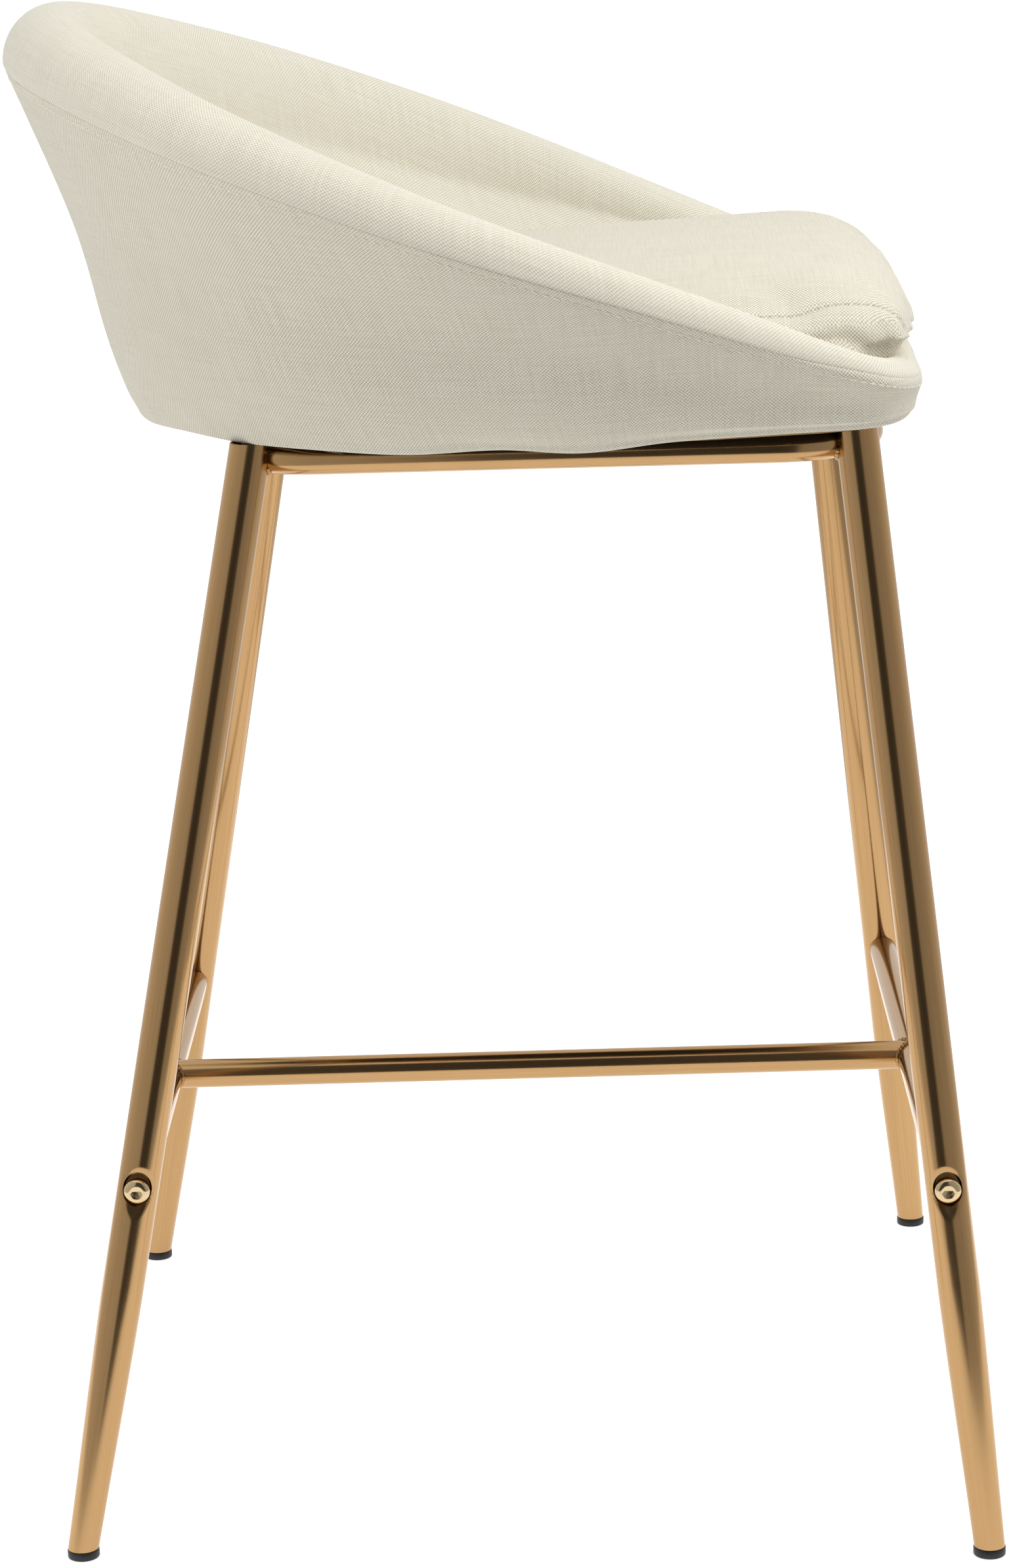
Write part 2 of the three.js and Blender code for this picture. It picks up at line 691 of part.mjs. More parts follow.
tabs.forEach((tab) => {
  const hole = new THREE.Path().absarc(0, screwOffset, screwDiameter / 2 + boltFit, 0, 2 * Math.PI, true);
  const shape = tabShape(0);
  shape.holes.push(hole);
  const tabPlate = onTab(tab, plate(shape, tabBottom, tabThickness));
  addPiece(seat, `seat_tab_${tab.name}`, tabPlate, finishes.goldTube);

  const headTop = tabBottom - fit;
  const head = screwHeadDiameter / 2;
  const screw = turned([
    [0, headTop - screwHeadHeight], [0.5 * head, headTop - screwHeadHeight],
    [0.85 * head, headTop - 0.6 * screwHeadHeight], [head, headTop - 0.2 * screwHeadHeight],
    [head, headTop], [screwDiameter / 2, headTop], [screwDiameter / 2, headTop + screwLength],
    [0, headTop + screwLength],
  ], smallSides);
  addPiece(seat, `seat_screw_${tab.name}`, atScrew(tab, screw), finishes.zincSteel);

  const [barrel, bore] = [nutBarrelDiameter / 2, screwDiameter / 2 + boltFit];
  const flangeBottom = boardTop + fit;
  const nut = turned([
    [barrel, flangeBottom - nutBarrelLength], [barrel, flangeBottom], [nutFlangeDiameter / 2, flangeBottom],
    [nutFlangeDiameter / 2, flangeBottom + nutFlangeThickness], [bore, flangeBottom + nutFlangeThickness],
    [bore, flangeBottom - nutBarrelLength], [barrel, flangeBottom - nutBarrelLength],
  ], smallSides);
  addPiece(seat, `tee_nut_${tab.name}`, atScrew(tab, nut), finishes.zincSteel);
});

const boardHoles = tabs.map((tab) => atScrew(
  tab, rod(nutBarrelDiameter / 2 + fit, 0, 2 * boardTop, smallSides)));
addPiece(seat, 'seat_board', subtract(
  plate(insetOutline(boardInset), seatBottom, boardThickness), ...boardHoles), finishes.plywood);

const coverBottom = seatBottom - fit - dustCoverThickness;
const coverCuts = tabs.map((tab) => onTab(tab, plate(tabShape(fit + 1), 0, 2 * boardTop)));
addPiece(seat, 'dust_cover', subtract(
  plate(insetOutline(dustCoverInset), coverBottom, dustCoverThickness), ...coverCuts), finishes.dustCloth);

// ---- Origin: on the floor, under the middle of the whole stool ----

stool.updateMatrixWorld(true);
const span = new THREE.Box3().setFromObject(stool, true);
const middle = span.getCenter(new THREE.Vector3());
stool.position.set(-middle.x, -middle.y, -span.min.z);

export default stool;
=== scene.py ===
# Bar stool with a footrest: an upholstered bucket seat on four gold tube legs.
# Metres. +Z is up and the seat faces -Y. Left and right are as seen from the front.

import math

import bmesh
import bpy
from mathutils import Matrix, Vector, noise
from mathutils.bvhtree import BVHTree


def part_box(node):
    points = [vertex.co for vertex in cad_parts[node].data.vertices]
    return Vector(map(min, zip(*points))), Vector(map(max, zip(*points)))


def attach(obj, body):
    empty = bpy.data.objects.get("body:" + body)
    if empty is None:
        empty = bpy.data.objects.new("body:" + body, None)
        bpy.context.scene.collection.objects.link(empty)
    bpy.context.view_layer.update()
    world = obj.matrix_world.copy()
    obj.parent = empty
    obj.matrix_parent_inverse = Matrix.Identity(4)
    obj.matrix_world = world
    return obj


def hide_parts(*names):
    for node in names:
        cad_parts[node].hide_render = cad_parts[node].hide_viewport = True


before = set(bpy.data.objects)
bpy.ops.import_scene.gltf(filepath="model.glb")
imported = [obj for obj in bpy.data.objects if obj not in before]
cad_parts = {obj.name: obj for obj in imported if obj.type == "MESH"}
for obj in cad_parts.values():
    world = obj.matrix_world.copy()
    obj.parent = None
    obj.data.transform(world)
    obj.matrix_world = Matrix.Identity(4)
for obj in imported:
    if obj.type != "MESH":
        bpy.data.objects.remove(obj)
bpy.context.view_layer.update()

mm = 0.001
fullTurn = 2 * math.pi


def middleOf(node):
    low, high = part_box(node)
    return (low + high) / 2


# ---- Layout, the same values as the model's ----

layout = {
    "footDepth": 476 * mm,
    "footWidth": {"front": 504 * mm, "rear": 454 * mm},
    "topWidth": {"front": 333 * mm, "rear": 243 * mm},
    "topY": {"front": -182 * mm, "rear": 131 * mm},
    "ringHeight": 567.3 * mm,
    "seatTilt": math.radians(1.4),
    "fit": 0.3 * mm,
}

feetMiddleY = (middleOf("foot_cap_front_left").y + middleOf("foot_cap_rear_left").y) / 2
floorShift = Vector((0, feetMiddleY, 0))
seatFrame = (
    Matrix.Translation(floorShift + Vector((0, 0, layout["ringHeight"])))
    @ Matrix.Rotation(-layout["seatTilt"], 4, "X")
)
floorToSeat = seatFrame.inverted()


# ---- Helpers for meshes ----

upwards = Vector((0, 0, 1))


def linkObject(name, data):
    made = bpy.data.objects.new(name, data)
    bpy.context.scene.collection.objects.link(made)
    return made


# A grid whose vertices are placed by pointAt(column, row), welded where its edges meet.
# uvAt(column, row) gives its texture coordinates in metres.
def bentGrid(name, columns, rows, pointAt, uvAt):
    shape = bmesh.new()
    layer = shape.loops.layers.uv.new("UVMap")
    bmesh.ops.create_grid(shape, x_segments=columns, y_segments=rows, size=0.5, calc_uvs=True)
    shape.verts.index_update()
    places = {}
    for vertex in shape.verts:
        column = round((vertex.co.x + 0.5) * columns)
        row = round((vertex.co.y + 0.5) * rows)
        places[vertex.index] = (column, row)
    for face in shape.faces:
        for loop in face.loops:
            loop[layer].uv = uvAt(*places[loop.vert.index])
    for vertex in shape.verts:
        vertex.co = pointAt(*places[vertex.index])
    return finishMesh(name, shape)


# Welds a mesh, turns its faces outwards and links it as an object
def finishMesh(name, shape, weld=1e-6):
    bmesh.ops.remove_doubles(shape, verts=shape.verts, dist=weld)
    bmesh.ops.dissolve_degenerate(shape, edges=shape.edges, dist=weld)
    bmesh.ops.recalc_face_normals(shape, faces=shape.faces)
    mesh = bpy.data.meshes.new(name)
    shape.to_mesh(mesh)
    shape.free()
    mesh.shade_smooth()
    return linkObject(name, mesh)


def setFinish(piece, finish):
    piece.data.materials.clear()
    piece.data.materials.append(finish)


# A piece of the stool: its finish, the solids it stands for, and the body it rides on
def addPiece(piece, finish, slot, *nodes):
    setFinish(piece, finish)
    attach(piece, "root")
    if nodes:
        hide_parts(*nodes)
    return piece


def applyModifiers(piece):
    depsgraph = bpy.context.evaluated_depsgraph_get()
    made = bpy.data.meshes.new_from_object(piece.evaluated_get(depsgraph))
    piece.modifiers.clear()
    piece.data = made


def subdivide(piece):
    modifier = piece.modifiers.new("smooth", "SUBSURF")
    modifier.levels = modifier.render_levels = 1
    modifier.boundary_smooth = "PRESERVE_CORNERS"


def keepEdges(piece, degrees=35):
    piece.data.set_sharp_from_angle(angle=math.radians(degrees))


# Two directions across an axis, the first as near to towards as it can be
def acrossAxis(axis, towards):
    first = (towards - axis * towards.dot(axis)).normalized()
    return first, axis.cross(first)


def runningLengths(points):
    lengths = [0.0]
    for before, after in zip(points, points[1:]):
        lengths.append(lengths[-1] + (after - before).length)
    return lengths


# A grid bent into a round shape by pointAt(angle, row). lengths are its rows' places along it.
def roundGrid(name, sides, radius, lengths, pointAt):
    return bentGrid(
        name, sides, len(lengths) - 1,
        lambda column, row: pointAt(fullTurn * (column % sides) / sides, row),
        lambda column, row: (fullTurn * radius * column / sides, lengths[row]))


# A round tube along a path. radiusAt(row) gives its radius.
def pathTube(name, path, radiusAt, sides=32, isClosed=False):
    count = len(path)
    lengths = runningLengths(path)
    tangents = []
    for index in range(count):
        before = path[(index - 1) % count] if isClosed else path[max(index - 1, 0)]
        after = path[(index + 1) % count] if isClosed else path[min(index + 1, count - 1)]
        tangents.append((after - before).normalized())
    isSteep = abs(tangents[0].dot(upwards)) > 0.9
    normals = [acrossAxis(tangents[0], Vector((0, 1, 0)) if isSteep else upwards)[0]]
    for tangent in tangents[1:]:
        normals.append((normals[-1] - tangent * normals[-1].dot(tangent)).normalized())

    def pointAt(angle, row):
        side = tangents[row].cross(normals[row])
        return path[row] + (normals[row] * math.cos(angle) + side * math.sin(angle)) * radiusAt(row)

    return roundGrid(name, sides, radiusAt(0), lengths, pointAt)


def spread(count, start, end):
    return [start + (end - start) * index / (count - 1) for index in range(count)]


def clamp(value, low=0.0, high=1.0):
    return min(max(value, low), high)


def smoothStep(low, high, value):
    share = clamp((value - low) / (high - low))
    return share * share * (3 - 2 * share)


def mix(first, second, share):
    return first + (second - first) * share


# A cubic from start to end with a slope at each
def cubicBetween(start, end, slope1, slope2, weight):
    cubic = 2 * start - 2 * end + slope1 + slope2
    square = 3 * (end - start) - 2 * slope1 - slope2
    return start + (slope1 + (square + cubic * weight) * weight) * weight


# ---- Helpers for materials ----

def linearColour(code):
    channels = [int(code[index:index + 2], 16) / 255 for index in (1, 3, 5)]
    linear = [c / 12.92 if c <= 0.04045 else ((c + 0.055) / 1.055) ** 2.4 for c in channels]
    return (*linear, 1)


def darkened(code, share):
    return (*(share * c for c in linearColour(code)[:3]), 1)


# Adds a node with its settings, its input values, and links into its inputs
def addNode(tree, kind, settings=None, values=None, links=None):
    node = tree.nodes.new(kind)
    for key, value in (settings or {}).items():
        setattr(node, key, value)
    for key, value in (values or {}).items():
        node.inputs[key].default_value = value
    for key, socket in (links or {}).items():
        tree.links.new(socket, node.inputs[key])
    return node


def calculate(tree, operation, first, second=None, third=None):
    node = addNode(tree, "ShaderNodeMath", {"operation": operation})
    for index, item in enumerate((first, second, third)):
        if isinstance(item, (int, float)):
            node.inputs[index].default_value = item
        elif item is not None:
            tree.links.new(item, node.inputs[index])
    return node.outputs[0]


def newMaterial(name):
    material = bpy.data.materials.new(name)
    material.use_nodes = True
    tree = material.node_tree
    return material, tree, tree.nodes["Principled BSDF"]


def rampNode(tree, factor, stops):
    node = addNode(tree, "ShaderNodeValToRGB", links={"Fac": factor})
    ramp = node.color_ramp
    while len(ramp.elements) < len(stops):
        ramp.elements.new(0.5)
    for element, (place, colour) in zip(ramp.elements, stops):
        element.position = place
        element.color = colour
    return node.outputs["Color"]


# Noise whose pattern is drawn out along the axes with a low scale
def stretchedNoise(tree, place, scale, values):
    stretched = addNode(
        tree, "ShaderNodeMapping", values={"Scale": scale}, links={"Vector": place})
    return addNode(
        tree, "ShaderNodeTexNoise", values={"Scale": 1, **values},
        links={"Vector": stretched.outputs[0]}).outputs["Fac"]


# ---- Materials ----

# Polished tube in a gold lacquer, with faint draw lines along it
def goldMaterial(name, colour, roughness, streaks):
    material, tree, surface = newMaterial(name)
    place = addNode(tree, "ShaderNodeTexCoord").outputs["UV"]
    lines = stretchedNoise(tree, place, (1800, 9, 1), {"Detail": 3, "Roughness": 0.6})
    tone = rampNode(tree, lines, [(0.3, darkened(colour, 0.86)), (0.7, linearColour(colour))])
    tree.links.new(tone, surface.inputs["Base Color"])
    rough = calculate(tree, "MULTIPLY_ADD", lines, streaks, roughness - streaks / 2)
    tree.links.new(rough, surface.inputs["Roughness"])
    surface.inputs["Metallic"].default_value = 1
    return material


# Woven upholstery: its colour runs from the thread's own light tone to a painted shade in the
# hollows between the threads, and slubs vary the tone. The threads are drawn at their real size.
def wovenMaterial(name, light, hollowShade, settings):
    material, tree, surface = newMaterial(name)
    place = addNode(tree, "ShaderNodeTexCoord").outputs["UV"]
    parts = addNode(tree, "ShaderNodeSeparateXYZ", links={"Vector": place})
    wobble = addNode(
        tree, "ShaderNodeTexNoise", values={"Scale": 240, "Detail": 2}, links={"Vector": place})
    drift = calculate(tree, "MULTIPLY", wobble.outputs["Fac"], settings["wobble"])
    waves = []
    for axis, period in (("X", settings["warp"]), ("Y", settings["weft"])):
        phase = calculate(tree, "MULTIPLY_ADD", parts.outputs[axis], fullTurn / period, drift)
        waves.append(calculate(tree, "SINE", phase))
    dots = calculate(tree, "MULTIPLY", waves[0], waves[1])
    ribs = calculate(tree, "ABSOLUTE", waves[0])
    weave = calculate(tree, "MULTIPLY_ADD", dots, 0.5 * settings["dots"], 0.5)
    weave = calculate(tree, "MULTIPLY_ADD", ribs, settings["ribs"], weave)
    threads = [
        stretchedNoise(tree, place, scale, {"Detail": 2})
        for scale in ((900, 26, 1), (26, 900, 1))]
    slubs = calculate(tree, "ADD", threads[0], threads[1])
    slubs = calculate(tree, "MULTIPLY_ADD", slubs, settings["slubs"], -settings["slubs"])
    height = calculate(tree, "ADD", weave, slubs)
    # Painted shade: the weave's low places take the second, darker colour, standing in for shade
    # between the threads. The slubs add real uneven tone.
    tone = rampNode(tree, height, [(0.1, linearColour(hollowShade)), (0.8, linearColour(light))])
    tree.links.new(tone, surface.inputs["Base Color"])
    bump = addNode(
        tree, "ShaderNodeBump", values={"Strength": settings["relief"], "Distance": 0.4 * mm},
        links={"Height": height})
    tree.links.new(bump.outputs[0], surface.inputs["Normal"])
    surface.inputs["Roughness"].default_value = 0.92
    surface.inputs["Specular IOR Level"].default_value = 0.2
    surface.inputs["Sheen Weight"].default_value = 0.12
    surface.inputs["Sheen Roughness"].default_value = 0.5
    return material


def plainMaterial(name, colour, roughness, metallic=0.0, grain=0.0):
    material, tree, surface = newMaterial(name)
    place = addNode(tree, "ShaderNodeTexCoord").outputs["Object"]
    cloud = addNode(
        tree, "ShaderNodeTexNoise", values={"Scale": 380, "Detail": 3}, links={"Vector": place})
    tone = rampNode(
        tree, cloud.outputs["Fac"],
        [(0.3, darkened(colour, 1 - grain)), (0.7, linearColour(colour))])
    tree.links.new(tone, surface.inputs["Base Color"])
    surface.inputs["Roughness"].default_value = roughness
    surface.inputs["Metallic"].default_value = metallic
    return material


# Plywood, with grain along Y
def plywoodMaterial(name):
    material, tree, surface = newMaterial(name)
    place = addNode(tree, "ShaderNodeTexCoord").outputs["Object"]
    grain = stretchedNoise(tree, place, (90, 7, 90), {"Detail": 6, "Distortion": 0.6})
    tone = rampNode(
        tree, grain, [(0.3, linearColour("#a98252")), (0.7, linearColour("#d0ae7e"))])
    tree.links.new(tone, surface.inputs["Base Color"])
    surface.inputs["Roughness"].default_value = 0.65
    return material


finishes = {
    "tube": goldMaterial("gold_lacquered_steel_polished", "#bf996a", 0.17, 0.1),
    "bolt": goldMaterial("gold_plated_steel_bright", "#dcc49a", 0.1, 0.04),
    "weld": goldMaterial("gold_lacquered_weld_rough", "#b08a58", 0.26, 0.1),
    # The darker colour of each weave below is painted shade for the hollows between its threads.
    "panel": wovenMaterial("linen_weave_outer_panel", "#f0ecde", "#b9b19b", {
        "warp": 1.9 * mm, "weft": 1.9 * mm, "wobble": 1.2, "dots": 1.1, "ribs": 0.0,
        "slubs": 0.35, "relief": 0.6}),
    "band": wovenMaterial("linen_weave_rim_band", "#f0ecde", "#bbb39e", {
        "warp": 1.9 * mm, "weft": 1.9 * mm, "wobble": 1.0, "dots": 0.8, "ribs": 0.1,
        "slubs": 0.3, "relief": 0.5}),
    "thread": plainMaterial("polyester_thread_cream", "#efe9d8", 0.7),
    "plastic": plainMaterial("polyethylene_black_moulded", "#1b1b1c", 0.45, grain=0.2),
    "zinc": plainMaterial("zinc_plated_steel_satin", "#a9abad", 0.38, 1.0, 0.1),
    "shell": plainMaterial("polypropylene_grey_moulded", "#3a3a3c", 0.6),
    "dust": plainMaterial("spunbond_cloth_black", "#1d1d1f", 0.95, grain=0.35),
    "ply": plywoodMaterial("plywood_birch_raw"),
}
print("materials made")


# ---- Camera ----

viewpoint = {
    "place": Vector((-2.32887, feetMiddleY - 0.03394, 0.94063)),
    "yaw": 0.01699,
    "pitch": 0.24564,
    "roll": -0.03198,
    "lens": 98.857,
}


def addCamera():
    yaw, pitch, roll = viewpoint["yaw"], viewpoint["pitch"], viewpoint["roll"]
    forward = Vector((
        math.cos(yaw) * math.cos(pitch), math.sin(yaw) * math.cos(pitch), -math.sin(pitch)))
    right = forward.cross(upwards).normalized()
    up = right.cross(forward)
    turnedRight = right * math.cos(roll) + up * math.sin(roll)
    turnedUp = up * math.cos(roll) - right * math.sin(roll)
    data = bpy.data.cameras.new("camera")
    data.sensor_fit = "AUTO"
    data.sensor_width = 36
    data.lens = viewpoint["lens"]
    camera = linkObject("camera", data)
    turn = Matrix((turnedRight, turnedUp, -forward)).transposed().to_4x4()
    camera.matrix_world = Matrix.Translation(viewpoint["place"]) @ turn
    bpy.context.scene.camera = camera


addCamera()


# ---- Legs ----

legShape = {
    "radius": 11 * mm,
    "wall": 1.5 * mm,
    "endRadius": 7.9 * mm,
    "taperHeight": 135 * mm,
    "taperEasing": 0.4,
    "topAboveRing": 9.7 * mm,
    "capHeight": 4.7 * mm,
    "sides": 72,
}

# The pressed pocket round each footrest bolt
pocket = {
    "height": 192.4 * mm,
    "holeHalfWidth": 7.6 * mm,
    "holeHalfHeight": 9.2 * mm,
    "holeDrop": -0.1 * mm,
    "depth": 5 * mm,
    "dishHalfWidth": 9.6 * mm,
    "dishAbove": 13 * mm,
    "dishBelow": 17 * mm,
    "dishDepth": 1.5 * mm,
    "dishFlat": 0.45,
    "dishNarrowing": 0.35,
    "facing": 0.2,
    # the leg's rows are close together over this stretch
    "reachBelow": 24 * mm,
    "reachAbove": 18 * mm,
    "rows": 56,
    # the hole's rim and its floor's rim, each with the shares that move onto it
    "edges": ((1.0, 0.94, 1.08), (0.87, 0.8, 0.94)),
    "floorShare": 0.9,
}


class Leg:
    def __init__(self, end, side):
        self.end, self.side = end, side
        self.name = f"{end}_{'left' if side < 0 else 'right'}"
        footY = (-1 if end == "front" else 1) * layout["footDepth"] / 2
        self.foot = floorShift + Vector((side * layout["footWidth"][end] / 2, footY, 0))
        self.top = floorShift + Vector((
            side * layout["topWidth"][end] / 2, layout["topY"][end], layout["ringHeight"]))
        self.axis = (self.top - self.foot).normalized()
        # first points out of the stool, second points round the leg
        self.first, self.second = acrossAxis(self.axis, Vector((side, 0, 0)))

    def at(self, height):
        return self.foot + self.axis * (height / self.axis.z)

    def around(self, angle):
        return self.first * math.cos(angle) + self.second * math.sin(angle)


legs = [Leg(end, side) for end in ("front", "rear") for side in (-1, 1)]


def legAt(end, side):
    return next(leg for leg in legs if leg.end == end and leg.side == side)


# Where the surface of the pocket lies: the tube's own point, moved to a crisp edge and pressed in
def pressPocket(leg, angle, along, inner):
    radius = legShape["radius"]
    across = radius * math.sin(angle)
    middle = pocket["height"] / leg.axis.z - pocket["holeDrop"]
    rise = along - middle
    isNear = -pocket["reachBelow"] < rise < pocket["reachAbove"]
    if math.cos(angle) <= pocket["facing"] or not isNear:
        return None
    hole = math.hypot(across / pocket["holeHalfWidth"], rise / pocket["holeHalfHeight"])
    for edge, low, high in pocket["edges"]:
        if low <= hole < high:
            across, rise, hole = across * edge / hole, rise * edge / hole, edge
            break
    reach = pocket["dishAbove"] if rise > 0 else pocket["dishBelow"]
    narrowing = 1 if rise > 0 else 1 - pocket["dishNarrowing"] * clamp(-rise / reach)
    dish = math.hypot(across / (pocket["dishHalfWidth"] * narrowing), rise / reach)
    out = math.sqrt(max(radius * radius - across * across, 0))
    out -= pocket["dishDepth"] * (1 - smoothStep(pocket["dishFlat"], 1.0, dish))
    if hole < pocket["floorShare"]:
        out = min(out, radius - pocket["depth"])
    if inner:
        out -= legShape["wall"]
    return leg.foot + leg.axis * (middle + rise) + leg.second * across + leg.first * out


def makeLeg(leg):
    radius, wall = legShape["radius"], legShape["wall"]
    sides = legShape["sides"]
    bottom = (legShape["capHeight"] + layout["fit"]) / leg.axis.z
    taper = legShape["taperHeight"] / leg.axis.z
    bolt = pocket["height"] / leg.axis.z - pocket["holeDrop"]
    top = (layout["ringHeight"] + legShape["topAboveRing"]) / leg.axis.z
    heights = [bottom, *spread(8, 0.25 * taper, taper)]
    heights.append(taper + 8 * mm)
    heights += spread(pocket["rows"], bolt - pocket["reachBelow"], bolt + pocket["reachAbove"])
    heights += [*spread(14, bolt + 40 * mm, top - 6 * mm), top]
    # up the outside, then down the inside of the wall
    rows = [(height, False) for height in heights]
    rows += [(height, True) for height in reversed(heights)]
    rows.append(rows[0])

    # a cone that eases into the straight tube
    def radiusAt(height):
        eased = smoothStep(-0.15, 1.0, height / taper) if height < taper else 1
        share = mix(clamp(height / taper), eased, legShape["taperEasing"])
        return mix(legShape["endRadius"], radius, clamp(share))

    seatUp = seatFrame.to_3x3() @ upwards
    seatTop = seatFrame @ Vector((0, 0, legShape["topAboveRing"]))

    def pointAt(column, row):
        height, inner = rows[row]
        angle = fullTurn * ((column % sides) + 0.5) / sides
        if angle > math.pi:
            angle -= fullTurn
        pressed = pressPocket(leg, angle, height, inner)
        if pressed:
            return pressed
        reach = radiusAt(height) - (wall if inner else 0)
        offset = leg.around(angle) * reach
        if height == bottom:
            height = (legShape["capHeight"] + layout["fit"] - offset.z) / leg.axis.z
        elif height == top:
            height = seatUp.dot(seatTop - leg.foot - offset) / seatUp.dot(leg.axis)
        return leg.foot + leg.axis * height + offset

    def uvAt(column, row):
        return fullTurn * radius * column / sides, rows[row][0]

    return bentGrid(f"leg_tube_{leg.name}", sides, len(rows) - 1, pointAt, uvAt)


# ---- Seat ring ----

ringShape = {
    "radius": 8 * mm,
    "bendRadius": 42 * mm,
    "inset": 11 * mm,
    "buttGap": 0.4 * mm,
    "bendSteps": 14,
    "sides": 40,
}


# A corner of the ring in the seat's plane: the middle of its bend lies inside the leg's axis
def ringCorner(leg, towards):
    centre = floorToSeat @ leg.top
    other = floorToSeat @ towards.top
    centre.z = other.z = 0
    along = (other - centre).normalized()
    across = Vector((-leg.side, 0, 0))
    inward = (along + across).normalized()
    half = along.angle(across) / 2
    gap = ringShape["bendRadius"] / math.sin(half) - ringShape["bendRadius"]
    return centre + inward * (ringShape["inset"] - gap)


ringCorners = [
    ringCorner(legAt("rear", -1), legAt("front", -1)),
    ringCorner(legAt("front", -1), legAt("rear", -1)),
    ringCorner(legAt("front", 1), legAt("rear", 1)),
    ringCorner(legAt("rear", 1), legAt("front", 1)),
]


def roundedCorners(corners, radius, steps):
    points = []
    for index, corner in enumerate(corners):
        toBefore = (corners[index - 1] - corner).normalized()
        toAfter = (corners[(index + 1) % len(corners)] - corner).normalized()
        half = toBefore.angle(toAfter) / 2
        inward = (toBefore + toAfter).normalized()
        centre = corner + inward * (radius / math.sin(half))
        sweep = math.pi / 2 - half
        side = (toAfter - toBefore).normalized()
        for angle in spread(steps + 1, -sweep, sweep):
            points.append(
                centre - inward * radius * math.cos(angle) + side * radius * math.sin(angle))
    return points


def densePath(points, longest):
    dense = [points[0]]
    for before, after in zip(points, points[1:]):
        steps = max(1, math.ceil((after - before).length / longest))
        dense += [before.lerp(after, step / steps) for step in range(1, steps + 1)]
    return dense


ringBends = roundedCorners(ringCorners, ringShape["bendRadius"], ringShape["bendSteps"])
ringRearY = ringCorners[0].y
halfGap = ringShape["buttGap"] / 2
ringPath = [
    seatFrame @ point for point in densePath(
        [Vector((-halfGap, ringRearY, 0)), *ringBends, Vector((halfGap, ringRearY, 0))], 30 * mm)]


# A tube along a path with its ends closed by flat faces
def cappedTube(name, path, radius, sides):
    ends = [path[0], *path, path[-1]]
    radii = [0.0] + [radius] * len(path) + [0.0]
    return pathTube(name, ends, lambda row: radii[row], sides)


# Distance from a point to the ring's centre line
def distanceToRing(point):
    best = 1.0
    for before, after in zip(ringPath, ringPath[1:]):
        step = after - before
        share = clamp((point - before).dot(step) / step.length_squared)
        best = min(best, (point - before - step * share).length)
    return best


ring = addPiece(
    cappedTube("seat_ring_tube", ringPath, ringShape["radius"], ringShape["sides"]),
    finishes["tube"], "gold_tube", "seat_ring")
keepEdges(ring, 60)


notch = {"length": 90 * mm, "lift": 7 * mm, "sides": 32}


# Cuts the room for the ring out of a leg, open upwards
def cutNotch(piece, leg):
    near = [p for p in ringPath if (p - leg.top).length < notch["length"]]
    room = ringShape["radius"] + layout["fit"]
    cutters = [
        cappedTube("notch_tool", [p + upwards * lift for p in near], room, notch["sides"])
        for lift in (0, notch["lift"])]
    for cutter in cutters:
        modifier = piece.modifiers.new("notch", "BOOLEAN")
        modifier.operation = "DIFFERENCE"
        modifier.solver = "EXACT"
        modifier.object = cutter
    applyModifiers(piece)
    for cutter in cutters:
        bpy.data.objects.remove(cutter)


for leg in legs:
    legPiece = makeLeg(leg)
    cutNotch(legPiece, leg)
    addPiece(legPiece, finishes["tube"], "gold_tube", f"leg_{leg.name}")
    keepEdges(legPiece, 32)
print("legs and ring made")


# ---- Weld beads ----

bead = {
    "ringRadius": 1.7 * mm, "barRadius": 1.1 * mm, "sides": 12, "step": 0.8 * mm,
    "ripple": 0.14, "rippleLength": 2.4 * mm, "lumps": 0.3, "lumpScale": 120,
}


# A lumpy bead along a line, thin at both ends
def weldBead(name, line, seed, radius, isClosed=False):
    path = densePath(line, bead["step"])
    lengths = runningLengths(path)
    total = lengths[-1]

    def radiusAt(row):
        along = lengths[row]
        ends = 1 if isClosed else math.sqrt(clamp(min(along, total - along) / (2 * radius)))
        ripple = 1 + bead["ripple"] * math.sin(fullTurn * along / bead["rippleLength"])
        lump = noise.noise(Vector((along * bead["lumpScale"], seed * 7.3, 0.5)))
        return radius * ends * ripple * (1 + bead["lumps"] * lump)

    piece = pathTube(name, path, radiusAt, bead["sides"], isClosed)
    return addPiece(piece, finishes["weld"], "gold_tube")


ringWeld = {
    "turn": math.radians(4.2), "turns": 26, "out": 0.2 * mm,
    "searchBelow": 14 * mm, "searchStep": 0.3 * mm, "searchSteps": 90,
}


# The line where the ring enters the leg's outside, found from below round the leg's inner half
def ringWeldLine(leg):
    line = []
    lowest = layout["ringHeight"] - ringWeld["searchBelow"]
    for step in range(-ringWeld["turns"], ringWeld["turns"] + 1):
        angle = math.pi + ringWeld["turn"] * step
        offset = leg.around(angle) * (legShape["radius"] + ringWeld["out"])
        for index in range(ringWeld["searchSteps"]):
            place = leg.at(lowest + index * ringWeld["searchStep"]) + offset
            if distanceToRing(place) < ringShape["radius"]:
                line.append(place)
                break
    return line


for number, leg in enumerate(legs):
    weldBead(f"ring_weld_{leg.name}", ringWeldLine(leg), number, bead["ringRadius"])
print("ring welds made")


# ---- Foot caps ----

capShape = {"radius": 8.4 * mm, "edge": 0.8 * mm, "sides": 56}


